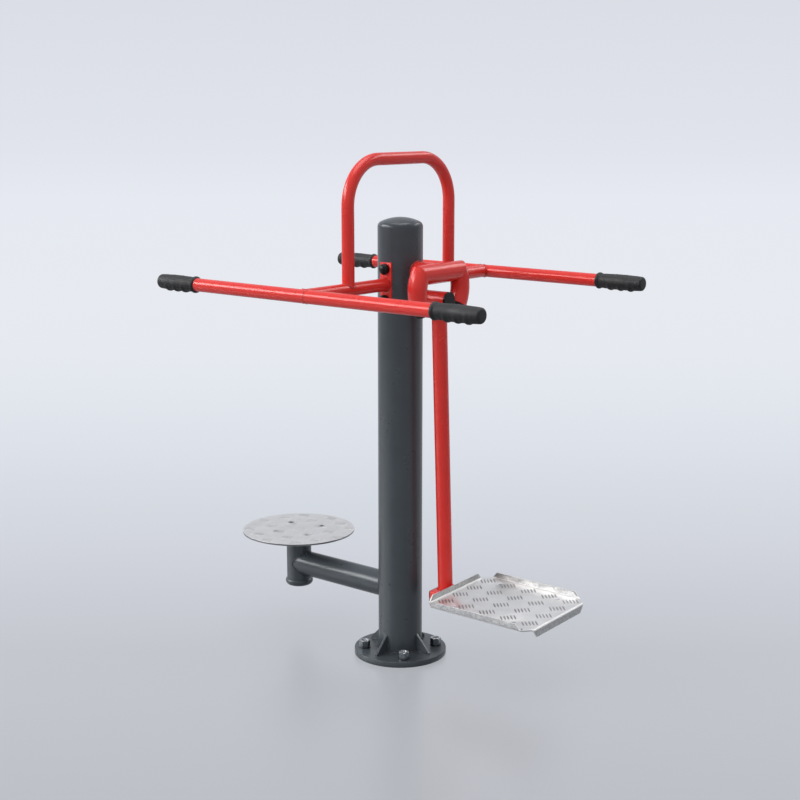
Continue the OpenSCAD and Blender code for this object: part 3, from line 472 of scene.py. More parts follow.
def powder_coat(name, tone_a, tone_b, rubbed, gloss, shine, dust):
    finish, tree, shader = new_finish(name)
    tone = use(tree, tone_drift, Tone_A=tone_a, Tone_B=tone_b, Cells=7.0)
    # Lighter edges: partly wear, partly a painted edge highlight.
    worn_and_lit = use(tree, edge_wear_and_highlight, Colour=tone.outputs[0], Rubbed=rubbed, Width=0.8 * MM, Amount=0.35)
    dusty = use(tree, dust_film, Colour=worn_and_lit.outputs[0], Dust=COAT_DUST, Amount=dust)
    skin = use(tree, orange_peel, Cells=PEEL_CELLS, Gloss_low=gloss[0], Gloss_high=gloss[1])
    tree.links.new(dusty.outputs[0], shader.inputs["Base Color"])
    tree.links.new(skin.outputs["Roughness"], shader.inputs["Roughness"])
    shader.inputs["Specular IOR Level"].default_value = shine
    bump(tree, shader, skin.outputs["Height"], PEEL_DEPTH)
    return finish


def bare_metal(name, tone_a, tone_b, rough, cells, depth, sides=None):
    finish, tree, shader = new_finish(name)
    tone = use(tree, tone_drift, Tone_A=tone_a, Tone_B=tone_b, Cells=22.0)
    # Upright faces get the darker side tones: painted shade.
    if sides is not None:
        tone = use(tree, painted_shade_upright, Colour=tone.outputs[0], Sides_A=sides[0], Sides_B=sides[1])
        dull = math_node(tree, "MULTIPLY", tone.outputs["Fold"], FOLD_DULLS)
        tree.links.new(math_node(tree, "SUBTRACT", 1.0, dull), shader.inputs["Metallic"])
    # Lighter, near-white edges: partly wear, partly a painted edge highlight.
    worn_and_lit = use(tree, edge_wear_and_highlight, Colour=tone.outputs[0], Rubbed=BRIGHT_EDGE, Width=0.5 * MM, Amount=0.5)
    grain = use(tree, fine_grain, Cells=cells, Rough_low=rough[0], Rough_high=rough[1])
    tree.links.new(worn_and_lit.outputs[0], shader.inputs["Base Color"])
    tree.links.new(grain.outputs["Roughness"], shader.inputs["Roughness"])
    if sides is None:
        shader.inputs["Metallic"].default_value = 1.0
    bump(tree, shader, grain.outputs["Height"], depth)
    return finish


def moulded(name, tone_a, tone_b, rough, cells, depth, shine, dust):
    finish, tree, shader = new_finish(name)
    tone = use(tree, tone_drift, Tone_A=tone_a, Tone_B=tone_b, Cells=16.0)
    dusty = use(tree, dust_film, Colour=tone.outputs[0], Dust=RUBBER_DUST, Amount=dust)
    grain = use(tree, fine_grain, Cells=cells, Rough_low=rough[0], Rough_high=rough[1])
    tree.links.new(dusty.outputs[0], shader.inputs["Base Color"])
    tree.links.new(grain.outputs["Roughness"], shader.inputs["Roughness"])
    shader.inputs["Specular IOR Level"].default_value = shine
    bump(tree, shader, grain.outputs["Height"], depth)
    return finish


# Each coat's fourth colour is its edge tone: partly wear, partly a painted edge highlight.
red_coat = powder_coat(
    "red_powder_coat", rgb(228, 56, 48), rgb(222, 50, 44), rgb(242, 96, 84), (0.22, 0.29), 0.32, 0.01)
# Darker red coat for the weld beads: painted shade in the creases of the joints.
red_seam_painted_shade = powder_coat(
    "red_powder_coat_seams_painted_shade", rgb(186, 40, 34), rgb(172, 34, 30), rgb(226, 84, 74),
    (0.26, 0.34), 0.32, 0.01)
grey_coat = powder_coat(
    "grey_powder_coat", rgb(68, 75, 80), rgb(62, 69, 74), rgb(120, 124, 130), (0.26, 0.34), 0.35, 0.02)
# Darker grey coat for the weld beads: painted shade in the creases of the joints.
grey_seam_painted_shade = powder_coat(
    "grey_powder_coat_seams_painted_shade", rgb(50, 53, 58), rgb(44, 47, 52), rgb(96, 100, 106),
    (0.26, 0.34), 0.35, 0.02)
grip_rubber = moulded(
    "black_grip_rubber", rgb(25, 25, 26), rgb(20, 20, 21), (0.55, 0.68), 1100.0, 0.05 * MM, 0.4, 0.02)
cap_plastic = moulded(
    "black_cap_plastic", rgb(18, 17, 18), rgb(14, 14, 15), (0.30, 0.42), 700.0, 0.02 * MM, 0.2, 0.01)
zinc = bare_metal(
    "zinc_plated_steel", rgb(214, 214, 214), rgb(196, 197, 198), (0.20, 0.30), 500.0, 0.02 * MM)
bearing_steel = bare_metal(
    "ground_bearing_steel", rgb(202, 202, 203), rgb(192, 193, 195), (0.18, 0.26), 900.0, 0.01 * MM)
# Its last pair of tones is painted shade on upright faces, such as the disc's rim.
tread_metal = bare_metal(
    "tread_aluminium", rgb(226, 225, 222), rgb(216, 215, 213), (0.30, 0.40), 260.0, 0.03 * MM,
    (rgb(120, 121, 124), rgb(96, 97, 100)))
# Its last pair of tones is painted shade on the footplate's folded lips.
folded_tread = bare_metal(
    "tread_aluminium_folded", rgb(226, 225, 222), rgb(216, 215, 213), (0.32, 0.42), 260.0, 0.03 * MM,
    (rgb(178, 178, 178), rgb(140, 140, 141)))
tread_crests = bare_metal(
    "tread_aluminium_crests", rgb(230, 229, 226), rgb(220, 219, 217), (0.34, 0.46), 260.0, 0.03 * MM)
# Its last pair of tones is painted shade on the nuts' flanks.
nut_steel = bare_metal(
    "zinc_plated_nuts", rgb(188, 190, 192), rgb(168, 171, 174), (0.30, 0.42), 500.0, 0.02 * MM,
    (rgb(124, 131, 134), rgb(92, 98, 102)))
# Darker steel: painted shade round the disc screws' heads; the anchor washers are made as dark.
dark_steel = bare_metal(
    "darkened_steel", rgb(92, 92, 94), rgb(78, 78, 80), (0.30, 0.42), 500.0, 0.02 * MM)
# Darker tread metal: the footplate's raised bars, and painted shade in the disc's grooves.
darker_tread = bare_metal(
    "tread_aluminium_bars", rgb(164, 163, 162), rgb(140, 139, 139), (0.34, 0.46), 260.0, 0.03 * MM)

slot_finish = {
    "grey_paint": grey_coat,
    "red_paint": red_coat,
    "black_rubber": grip_rubber,
    "black_plastic": cap_plastic,
    "zinc_steel": zinc,
    "bearing_steel": bearing_steel,
    "tread_aluminium": tread_metal,
}
seam_painted_shade = {"red_paint": red_seam_painted_shade, "grey_paint": grey_seam_painted_shade}
for node_object in cad.values():
    for material_slot in node_object.material_slots:
        slot_name = material_slot.material.name.split(".")[0]
        material_slot.material = slot_finish[slot_name]
# The disc screws take the darker steel as painted shade round their heads; the washers are as dark.
for node_name in ("disc_screws", "anchor_washers"):
    for material_slot in cad[node_name].material_slots:
        material_slot.material = dark_steel


def round_edges(node_name, width, crease=35):
    """Rounds a CAD node's sharp edges a little, by modifiers alone."""
    node_object = cad[node_name]
    joined = node_object.modifiers.new("joined", "WELD")
    joined.merge_threshold = 0.01 * MM
    rounded = node_object.modifiers.new("rounded", "BEVEL")
    rounded.width = width
    rounded.segments = 2
    rounded.limit_method = "ANGLE"
    rounded.angle_limit = math.radians(crease)
    rounded.harden_normals = True


for node_name, width in (
        ("base_flange", 1.2 * MM), ("base_gussets", 0.8 * MM), ("twister_disc", 0.6 * MM),
        ("front_saddle", 0.5 * MM), ("rear_saddle", 0.5 * MM)):
    round_edges(node_name, width)

# Weld beads of the frame
FOOT_BEAD = 4 * MM
RIB_BEAD = 2.2 * MM
FILLET = 3.2 * MM
THIN_BEAD = 1.8 * MM
SADDLE_BEAD = 2.6 * MM
TUBE_BEAD = 2.2 * MM
RING_BEAD = 1.6 * MM
RING_SUNK = 0.6 * MM
BOW_ARM_BEAD = 3.6 * MM
BOW_BEAD = 2.4 * MM
LEG_BEAD = 2.4 * MM

weld("weld_post_foot", [(circle_path(Z * FLANGE_TOP, Z, POST_R), FOOT_BEAD)], "grey_paint")

GUSSET_HALF = 4 * MM
GUSSET_NOSE = 3 * MM
rib_joints = []
for k in range(4):
    out = Matrix.Rotation(math.radians(90 * k), 3, "Z") @ X
    side = Z.cross(out)
    for way in (-1, 1):
        foot = out * POST_R + side * (way * GUSSET_HALF) + Z * FLANGE_TOP
        toe = out * (gusset_high.x - GUSSET_NOSE) + side * (way * GUSSET_HALF) + Z * FLANGE_TOP
        top = foot + Z * (gusset_high.z - FLANGE_TOP - GUSSET_NOSE)
        rib_joints.append((line_path(foot, toe, side * way), RIB_BEAD))
        rib_joints.append((line_path(foot, top, side * way), RIB_BEAD))
weld("weld_ribs", rib_joints, "grey_paint", closed=False)

weld("weld_arm_post", [(saddle_path(Z * ARM_Z, -X, Z, ARM_R, POST_R), FILLET)], "grey_paint")
weld("weld_arm_sleeve",
     [(saddle_path(X * SLEEVE_X + Z * ARM_Z, X, Z, ARM_R, SLEEVE_R), THIN_BEAD)], "grey_paint")

for title, side in (("front", -1), ("rear", 1)):
    bar_middle = Y * (side * BAR_Y) + Z * HANDLE_Z
    loop_foot = Y * (side * LOOP_Y) + Z * HANDLE_Z
    weld(f"weld_{title}_stem",
         [(saddle_path(Z * HANDLE_Z, Y * side, Z, STEM_R, SADDLE_R), SADDLE_BEAD),
          (saddle_path(bar_middle, Y * -side, X, STEM_R, BAR_R), TUBE_BEAD)], "red_paint")
    ring_middle = Vector((-side * RING_X, side * BAR_Y, HANDLE_Z))
    weld(f"weld_{title}_bar", [(circle_path(ring_middle, X, BAR_R - RING_SUNK), RING_BEAD)], "red_paint")
    weld(f"weld_{title}_loop", [(saddle_path(loop_foot, Z, Y, LOOP_R, STEM_R), TUBE_BEAD)], "red_paint")

weld("weld_bow_arm",
     [(saddle_path(Z * BOW_Z, X, Z, BOW_ARM_R, POST_R), BOW_ARM_BEAD),
      (saddle_path(X * BOW_X + Z * BOW_Z, -X, Y, BOW_ARM_R, BOW_R), BOW_BEAD)], "red_paint")
weld("weld_axle_boss", [(saddle_path(Z * PIVOT_Z, X, Z, HUB_R, POST_R), FILLET)], "grey_paint")

# Weld beads of the swinging leg
leg_foot = Vector((BOW_X, 0, PIVOT_Z - LEG_DROP))
weld("weld_leg",
     [(saddle_path(X * BOW_X + PIVOT, -Z, X, LEG_R, HUB_R), LEG_BEAD),
      (circle_path(leg_foot, Z, LEG_R), FILLET)], "red_paint", "pendulum", swung)


# Hexagon nuts with chamfered corners and a thread
NUT_TURN_STEPS = 72
NUT_RIM_SHARE = 0.97
THREAD_SHARE = 0.08
LEAD_IN = 0.6 * MM
CHAMFER_SLOPE = math.tan(math.radians(30))


def nut_mesh(verts, faces, place, flats, height, bore, pitch):
    """Adds a nut that stands on the origin of place, with its corners cut by a cone at both faces."""
    start = len(verts)
    half = flats / 2
    rim = half * NUT_RIM_SHARE
    turns = int(height / pitch) - 1
    rings = []
    thread_depth = THREAD_SHARE * bore
    for k in range(2 * turns + 1):
        z = height / 2 + (k - turns) * pitch / 2
        rings.append(("round", bore - (thread_depth if k % 2 else 0.0), z))
    rings.append(("round", bore + LEAD_IN, height))
    rings.append(("rim", rim, height))
    rings.append(("corner", 0, height))
    rings.append(("corner", 0, 0))
    rings.append(("rim", rim, 0))
    rings.append(("round", bore + LEAD_IN, 0))
    for kind, size, z in rings:
        for turn in turns_round(NUT_TURN_STEPS):
            from_flat = (turn + math.pi / 6) % (math.pi / 3) - math.pi / 6
            hexagon = half / math.cos(math.pi / 6 - abs(from_flat))
            radius = size
            level = z
            if kind == "rim":
                radius = min(size, hexagon)
            if kind == "corner":
                radius = hexagon
                cut = max(hexagon - rim, 0.0) * CHAMFER_SLOPE
                level = z - cut if z > 0 else z + cut
            verts.append(place @ Vector((radius * math.cos(turn), radius * math.sin(turn), level)))
    for face in rings_to_faces(len(rings), NUT_TURN_STEPS, True):
        faces.append(tuple(start + k for k in face))


ANCHOR_PITCH_R = 115 * MM
ANCHOR_AF = 30 * MM
ANCHOR_BORE_R = 10 * MM
ANCHOR_THREAD = 2.5 * MM
anchor_verts = []
anchor_faces = []
nut_height = nut_high.z - nut_low.z
for k in range(4):
    turn = Matrix.Rotation(math.radians(45 + 90 * k), 4, "Z")
    place = turn @ Matrix.Translation((ANCHOR_PITCH_R, 0, nut_low.z))
    nut_mesh(anchor_verts, anchor_faces, place, ANCHOR_AF, nut_height, ANCHOR_BORE_R, ANCHOR_THREAD)
anchor_piece = piece_from(
    "anchor_nuts_threaded", anchor_verts, anchor_faces, nut_steel, "frame", crease=25)
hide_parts("anchor_nuts")


# Rubber grips
GRIP_LEN = 164 * MM
GRIP_R = 24.3 * MM
GRIP_SWELL = 2.3 * MM
GRIP_ROUND = 8 * MM
GRIP_END = 6 * MM
COLLAR_R = 25.6 * MM
COLLAR_W = 16 * MM
RIDGES = 3
RIDGE_PITCH = 35 * MM
RIDGE_FIRST = 51 * MM
RIDGE_R = 14 * MM
RIDGE_AXIS = 3.2 * MM
GRIP_TURN_STEPS = 56


def off_centre(radius, drop, turn):
    """Distance from the bar's axis to a circle whose centre sits below that axis."""
    return -drop * math.sin(turn) + math.sqrt(max(radius ** 2 - (drop * math.cos(turn)) ** 2, 0.0))


def grip_outline():
    """(distance along the grip, sleeve radius) from the collar to the closed end."""
    end_r = GRIP_R - GRIP_SWELL
    bead = COLLAR_W / 2
    outline = []
    for k in range(13):
        turn = math.pi * k / 12
        radius = COLLAR_R - bead + bead * math.sin(turn)
        outline.append((bead - bead * math.cos(turn), max(radius, BAR_R if k < 6 else end_r)))
    run = GRIP_LEN - GRIP_ROUND - COLLAR_W
    steps = 90
    for k in range(1, steps):
        share = 2 * k / steps - 1
        outline.append((COLLAR_W + run * k / steps, GRIP_R - GRIP_SWELL * share * share))
    for k in range(11):
        turn = math.pi / 2 * k / 10
        outline.append((GRIP_LEN - GRIP_ROUND * (1 - math.sin(turn)),
                        end_r - GRIP_ROUND * (1 - math.cos(turn))))
    return outline


def grip_radius(along, sleeve_r, turn):
    """The sleeve, with the finger ridges under it blended in softly."""
    ridge = 0.0
    for k in range(RIDGES):
        away = along - RIDGE_FIRST - k * RIDGE_PITCH
        if abs(away) < RIDGE_R:
            profile = GRIP_R - RIDGE_R + math.sqrt(RIDGE_R ** 2 - away ** 2)
            ridge = max(ridge, off_centre(profile, RIDGE_AXIS, turn))
    if ridge == 0.0:
        return sleeve_r
    soft = 0.8 * MM
    return (sleeve_r + ridge + math.sqrt((sleeve_r - ridge) ** 2 + soft ** 2)) / 2 - soft / 2


def grip(name, node_name, place):
    verts = []
    faces = []
    bore_depth = GRIP_LEN - GRIP_END
    turns = turns_round(GRIP_TURN_STEPS)
    rings = [(bore_depth, [BAR_R * 0.5] * len(turns)), (bore_depth, [BAR_R] * len(turns)),
             (0.0, [BAR_R] * len(turns))]
    for along, sleeve_r in grip_outline():
        rings.append((along, [grip_radius(along, sleeve_r, turn) for turn in turns]))
    for along, radii in rings:
        for turn, radius in zip(turns, radii):
            verts.append(Vector((along, radius * math.cos(turn), radius * math.sin(turn))))
    ring_count = len(verts) // GRIP_TURN_STEPS
    faces += rings_to_faces(ring_count, GRIP_TURN_STEPS, False)
    inner_pole = len(verts)
    verts.append(Vector((bore_depth, 0, 0)))
    outer_pole = len(verts)
    verts.append(Vector((GRIP_LEN, 0, 0)))
    last = (ring_count - 1) * GRIP_TURN_STEPS
    for i in range(GRIP_TURN_STEPS):
        m = (i + 1) % GRIP_TURN_STEPS
        faces.append((inner_pole, m, i))
        faces.append((outer_pole, last + i, last + m))
    piece = piece_from(name, verts, faces, grip_rubber, "frame", place, crease=50)
    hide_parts(node_name)


GRIP_START = 456 * MM
for title, side in (("front", -1), ("rear", 1)):
    for way_title, way in (("left", -1), ("right", 1)):
        turned = Matrix.Rotation(0 if way > 0 else math.pi, 4, "Z")
        middle = Matrix.Translation((-side * RING_X, side * BAR_Y, HANDLE_Z))
        grip(f"grip_{title}_{way_title}", f"{title}_{way_title}_grip",
             middle @ turned @ Matrix.Translation((GRIP_START, 0, 0)))


# Folded footplate of tread plate
PLATE_X0 = 191.3 * MM
PLATE_X1 = 581.3 * MM
PLATE_HALF = 163 * MM
PLATE_T = 4 * MM
PLATE_CORNER = 32.5 * MM
TREAD_Z = PIVOT_Z - LEG_DROP + PLATE_T
LIP_UP = 19 * MM
LIP_DOWN = 25 * MM
LIP_SLOPE = 14 * MM
FOLD_R = 5 * MM
FOLD_ARC = FOLD_R * math.pi / 2
FOLD_STEPS = 6
LIP_STEPS = 3
SCREW_X = (282.8 * MM, 497.8 * MM)
SCREW_Y = 117 * MM
SCREW_HOLE_R = 7.5 * MM
HOLE_STEPS = 32
MID_Z = TREAD_Z - PLATE_T / 2
FOLD_IN = FOLD_R + PLATE_T / 2
plate_middle = (PLATE_X0 + PLATE_X1) / 2

# Each fold: middle of its edge, direction outward, half its length, height of its lip, up or down
folds = [
    (Vector((plate_middle, -PLATE_HALF, 0)), -Y, (PLATE_X1 - PLATE_X0) / 2 - PLATE_CORNER, LIP_UP, 1),
    (Vector((plate_middle, PLATE_HALF, 0)), Y, (PLATE_X1 - PLATE_X0) / 2 - PLATE_CORNER, LIP_UP, 1),
    (Vector((PLATE_X0, 0, 0)), -X, PLATE_HALF - PLATE_CORNER, LIP_UP, 1),
    (Vector((PLATE_X1, 0, 0)), X, PLATE_HALF - PLATE_CORNER, LIP_DOWN + PLATE_T, -1),
]

# The folds in the order in which one walks round the plate
ROUND_ORDER = (0, 3, 1, 2)


def fold_point(fold, away, depth):
    """Point and normal on the sheet, depth above its lower skin, at a distance past the fold's start."""
    edge, out, half, height, way = fold
    if way > 0:
        radius = FOLD_R + PLATE_T / 2 - depth
    else:
        radius = FOLD_R - PLATE_T / 2 + depth
    start = edge - out * FOLD_IN
    base_z = MID_Z + way * FOLD_R
    if away <= 0:
        return start + out * away + Z * (MID_Z - PLATE_T / 2 + depth), Z
    angle = min(away, FOLD_ARC) / FOLD_R
    normal = Z * math.cos(angle) - out * (way * math.sin(angle))
    point = start + out * (radius * math.sin(angle)) + Z * (base_z - way * radius * math.cos(angle))
    if away > FOLD_ARC:
        point += Z * (way * (away - FOLD_ARC))
    return point, normal


def fold_length(fold):
    """How far the sheet runs past the fold's start, measured along its middle."""
    edge, out, half, height, way = fold
    return FOLD_ARC - FOLD_R + height + (PLATE_T / 2 if way > 0 else -PLATE_T)


def fold_half_length(fold, away):
    """Half the length of the sheet beside the fold, narrowing from the fold's start to its free edge."""
    edge, out, half, height, way = fold
    if away <= FOLD_ARC:
        return half + FOLD_IN * (1 - away / FOLD_ARC)
    return half - LIP_SLOPE * (away - FOLD_ARC) / (fold_length(fold) - FOLD_ARC)


def build_footplate():
    build = bmesh.new()
    corners = {}

    def corner(point):
        key = (round(point.x, 6), round(point.y, 6), round(point.z, 6))
        if key not in corners:
            corners[key] = build.verts.new(point)
        return corners[key]

    outline = []
    columns = 24
    for fold in folds:
        edge, out, half, height, way = fold
        along = Z.cross(out)
        lip = fold_length(fold) - FOLD_ARC
        reaches = [FOLD_ARC * k / FOLD_STEPS for k in range(FOLD_STEPS + 1)]
        reaches += [FOLD_ARC + lip * k / LIP_STEPS for k in range(1, LIP_STEPS + 1)]
        rows = []
        for away in reaches:
            point, normal = fold_point(fold, away, PLATE_T / 2)
            width = fold_half_length(fold, away)
            shares = [2 * c / columns - 1 for c in range(columns + 1)]
            rows.append([corner(point + along * (width * share)) for share in shares])
        for r in range(len(rows) - 1):
            for c in range(columns):
                build.faces.new((rows[r][c], rows[r][c + 1], rows[r + 1][c + 1], rows[r + 1][c]))
        outline.append(rows[0])
    loop = []
    for k in ROUND_ORDER:
        loop += outline[k]
    edges = []
    for i, vert in enumerate(loop):
        after = loop[(i + 1) % len(loop)]
        if vert is after:
            continue
        edges.append(build.edges.get((vert, after)) or build.edges.new((vert, after)))
    for x in SCREW_X:
        for side in (-1, 1):
            ring = []
            for turn in turns_round(HOLE_STEPS):
                hole_x = x + SCREW_HOLE_R * math.cos(turn)
                hole_y = side * SCREW_Y + SCREW_HOLE_R * math.sin(turn)
                ring.append(build.verts.new((hole_x, hole_y, MID_Z)))
            edges += [build.edges.new((ring[k], ring[(k + 1) % HOLE_STEPS])) for k in range(HOLE_STEPS)]
    bmesh.ops.triangle_fill(build, use_beauty=True, use_dissolve=False, edges=edges)
    bmesh.ops.recalc_face_normals(build, faces=build.faces)
    mesh = bpy.data.meshes.new("footplate_folded")
    build.to_mesh(mesh)
    build.free()
    mesh.transform(swung)
    mesh.materials.append(folded_tread)
    piece = add_object("footplate_folded", mesh)
    sheet = piece.modifiers.new("sheet", "SOLIDIFY")
    sheet.thickness = PLATE_T
    sheet.offset = 0.0
    sheet.use_even_offset = True
    edge = piece.modifiers.new("edge", "BEVEL")
    edge.width = 0.5 * MM
    edge.segments = 2
    edge.limit_method = "ANGLE"
    edge.angle_limit = math.radians(50)
    settle(piece, crease=30)
    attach(piece, "pendulum")
    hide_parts("footplate")


build_footplate()

# Raised bars of the tread plate: one way they stand proud, the other way they are worn nearly flat
BAR_LENGTH = 36 * MM
BAR_WIDTH = 5.2 * MM
BAR_HEIGHT = 1.3 * MM
WORN_HEIGHT = 0.12 * MM
BAR_SPACING = 10.2 * MM
DISC_SCREW_TURN = -27.7
DISC_SCREW_R = 82 * MM
DISC_BAR_SPACING = 6.5 * MM
DISC_BAR_WIDTH = 3.2 * MM
DISC_BAR_HEIGHT = 0.6 * MM
BAR_SUNK = 0.5 * MM
BAR_CLEAR = 0.02 * MM
BAR_STATIONS = 10
LEAST_TAPER = 0.12
BARS_IN_GROUP = 5
DISC_BARS_IN_GROUP = 7
# Across a bar: share of its half width, and share of its height
BAR_SECTION = ((-1.0, 0.0), (-0.72, 0.62), (-0.3, 0.95), (0.3, 0.95), (0.72, 0.62), (1.0, 0.0))


def raised_bar(verts, faces, middle, along, width, height, inside, surface):
    """Adds one lens-shaped bar at a place on the flat sheet, cut off where the sheet ends."""
    across = Vector((-along.y, along.x))
    stations = []
    for k in range(BAR_STATIONS + 1):
        share = 2 * k / BAR_STATIONS - 1
        place = middle + along * (share * BAR_LENGTH / 2)
        if inside(place):
            stations.append((share, place))
    if len(stations) < 3:
        return
    start = len(verts)
    size = len(BAR_SECTION) + 2
    for share, place in stations:
        taper = max(math.sqrt(max(1 - share * share, 0.0)), LEAST_TAPER)
        for off, rise in BAR_SECTION:
            point, normal = surface(place + across * (off * taper * width / 2))
            lift = BAR_CLEAR if rise == 0.0 else rise * taper * height
            verts.append(point + normal * lift)
        for off in (1.0, -1.0):
            point, normal = surface(place + across * (off * taper * width / 2))
            verts.append(point - normal * BAR_SUNK)
    for face in rings_to_faces(len(stations), size, False):
        faces.append(tuple(start + k for k in face))
    last = start + (len(stations) - 1) * size
    faces.append(tuple(start + k for k in reversed(range(size))))
    faces.append(tuple(last + k for k in range(size)))


def bar_groups(name, centres, angle, group, height, finish, body, inside, surface, place=None):
    """Groups of parallel bars on a square lattice of centres; a group is (count, spacing, width)."""
    along = Vector((math.cos(angle), math.sin(angle)))
    across = Vector((-along.y, along.x))
    verts = []
    faces = []
    count, spacing, width = group
    for centre in centres:
        for k in range(count):
            middle = centre + across * ((k - (count - 1) / 2) * spacing)
            raised_bar(verts, faces, middle, along, width, height, inside, surface)
    piece_from(name, verts, faces, finish, body, place, crease=75)


def tread_on_disc():
    pitch = 74 * MM
    tilt = math.radians(-25)
    lattice_u = Vector((math.cos(tilt), math.sin(tilt))) * pitch
    lattice_v = Vector((-math.sin(tilt), math.cos(tilt))) * pitch
    origin = Vector((6 * MM, -2 * MM))
    edge = DISC_R - 1.5 * MM
    screw_clear = 12 * MM
    turns = [math.radians(DISC_SCREW_TURN + 90 * k) for k in range(4)]
    screws = [Vector((math.cos(turn), math.sin(turn))) * DISC_SCREW_R for turn in turns]

    def inside(place):
        return place.length < edge and all((place - s).length > screw_clear for s in screws)

    def surface(place):
        return Vector((SLEEVE_X + place.x, place.y, DISC_TOP)), Z

    reach = range(-4, 5)
    lattice = [origin + lattice_u * i + lattice_v * j for i in reach for j in reach]
    between = [centre + (lattice_u + lattice_v) / 2 for centre in lattice]
    group = (DISC_BARS_IN_GROUP, DISC_BAR_SPACING, DISC_BAR_WIDTH)
    bar_groups("tread_bars_disc", lattice, tilt - math.pi / 4, group, DISC_BAR_HEIGHT,
               tread_crests, "turntable", inside, surface)
    # Dark low strips between the crest bars: painted shade in the grooves.
    grooves = (DISC_BARS_IN_GROUP - 1, DISC_BAR_SPACING, DISC_BAR_WIDTH)
    bar_groups("tread_grooves_disc_painted_shade", lattice, tilt - math.pi / 4, grooves, WORN_HEIGHT,
               darker_tread, "turntable", inside, surface)
    bar_groups("tread_bars_disc_worn", between, tilt + math.pi / 4, group, WORN_HEIGHT,
               tread_metal, "turntable", inside, surface)


def tread_on_footplate():
    pitch_x = 78 * MM
    pitch_y = 73 * MM
    first = Vector((230 * MM, -97 * MM))
    margin = 1.5 * MM
    screw_clear = 10 * MM
    screws = [Vector((x, side * SCREW_Y)) for x in SCREW_X for side in (-1, 1)]

    def past_fold(place):
        """The fold that a place of the flat sheet lies beyond, and how far."""
        for fold in folds:
            edge, out, half, height, way = fold
            start = edge - out * FOLD_IN
            away = (Vector((place.x, place.y, 0)) - start).dot(out)
            if away > 0:
                return fold, away
        return None, 0.0

    def inside(place):
        if any((place - screw).length < screw_clear for screw in screws):
            return False
        cut = abs(place.y) - (PLATE_HALF - PLATE_CORNER)
        near = PLATE_X0 - place.x + cut
        far = place.x - PLATE_X1 + cut
        fold, away = past_fold(place)
        if fold is None:
            return max(near, far) < -margin
        edge, out, half, height, way = fold
        sideways = abs((Vector((place.x, place.y, 0)) - edge).dot(Z.cross(out)))
        return away < fold_length(fold) - margin and sideways < fold_half_length(fold, away) - margin

    def surface(place):
        fold, away = past_fold(place)
        if fold is None:
            return Vector((place.x, place.y, TREAD_Z)), Z
        edge, out, half, height, way = fold
        along = Z.cross(out)
        point, normal = fold_point(fold, away, PLATE_T)
        sideways = (Vector((place.x, place.y, 0)) - edge).dot(along)
        return point + along * sideways, normal

    lattice = [first + Vector((i * pitch_x, j * pitch_y)) for i in range(-2, 7) for j in range(-2, 6)]
    between = [centre + Vector((pitch_x, pitch_y)) / 2 for centre in lattice]
    group = (BARS_IN_GROUP, BAR_SPACING, BAR_WIDTH)
    bar_groups("tread_bars_footplate", lattice, -math.pi / 4, group, BAR_HEIGHT,
               darker_tread, "pendulum", inside, surface, swung)
    bar_groups("tread_bars_footplate_worn", between, math.pi / 4, group, WORN_HEIGHT,
               folded_tread, "pendulum", inside, surface, swung)


tread_on_disc()
tread_on_footplate()


# Studio: floor, world, lights and camera

# Backdrop tones, from the near floor to the horizon: (distance away from the photographer, colour)
FADE = 4.5
# The tones are painted light: darker near the photographer, lighter further away.
floor_tones = (
    (-1.02, rgb(192, 196, 202)), (-0.41, rgb(196, 200, 206)), (0.0, rgb(196, 200, 206)),
    (0.51, rgb(202, 205, 213)), (1.11, rgb(209, 212, 220)), (1.87, rgb(213, 219, 226)),
    (2.86, rgb(220, 224, 232)), (4.18, rgb(225, 229, 236)), (6.05, rgb(230, 233, 240)),
    (8.9, rgb(231, 234, 240)), (24.0, rgb(230, 233, 241)), (59.0, rgb(225, 228, 236)),
    (400.0, rgb(223, 226, 234)),
)
FADE_SPAN = 1.4
FLOOR_HALF = 400.0
FADE_NEAR = -1.3
# Directions on the ground: away from the photographer, and toward the photograph's left
AWAY = (-0.637, 0.771, 0.0)
LEFT = (-0.771, -0.637)
GLOW_FROM = 2.2
GLOW_FULL = 7.0
SKY_TONES = ((0.0, rgb(223, 226, 234)), (0.08, rgb(218, 221, 229)))
FLOOR_LEVEL = 0.90
FLOOR_BOUNCE = 0.35
SHADOW_HELD = 0.8
HELD_LEVEL = 0.76
WORLD_LEVEL = 0.80
LEFT_LEAN = 0.6
WORLD_TONE = (0.98, 0.985, 1.0, 1.0)
SIDE_LAMP = {"rise": 24, "heading": 225, "level": 14.0, "half_rise": 8, "half_turn": 28}
BACK_LAMP = {"rise": 36, "heading": 66, "level": 6.5, "half_rise": 5, "half_turn": 23}
TOP_LEVEL = 4.5
TOP_RIM = (0.88, 0.93)
LAMP_SHARE = 0.25


def fade_place(distance):
    return FADE / (FADE + distance) / FADE_SPAN


def fade_ramp(tree):
    """Painted light on the floor: its colour by distance along the direction the photographer looks in.
    """
    distance = math_node(tree, "MAXIMUM", product_along(tree, object_place(tree), AWAY), FADE_NEAR)
    share = math_node(tree, "DIVIDE", FADE / FADE_SPAN, math_node(tree, "ADD", distance, FADE))
    ramp = tree.nodes.new("ShaderNodeValToRGB")
    tree.links.new(share, ramp.inputs["Fac"])
    tones = sorted((fade_place(d), colour) for d, colour in floor_tones)
    elements = ramp.color_ramp.elements
    while len(elements) < len(tones):
        elements.new(0.5)
    for element, (place, colour) in zip(elements, tones):
        element.position = place
        element.color = colour
    return ramp.outputs["Color"]


def seen_directly(tree):
    """1 for rays from the eye and for mirrored ones, 0 for the rays that carry soft light."""
    rays = tree.nodes.new("ShaderNodeLightPath")
    return math_node(tree, "MAXIMUM", rays.outputs["Is Camera Ray"], rays.outputs["Is Glossy Ray"])


def show_mixed(tree, share, first, second, surface):
    """Feeds a surface socket with two shaders; share is how much of the second shows."""
    mixed = tree.nodes.new("ShaderNodeMixShader")
    for socket, value in zip(mixed.inputs, (share, first.outputs[0], second.outputs[0])):
        tree.links.new(value, socket)
    tree.links.new(mixed.outputs[0], surface)


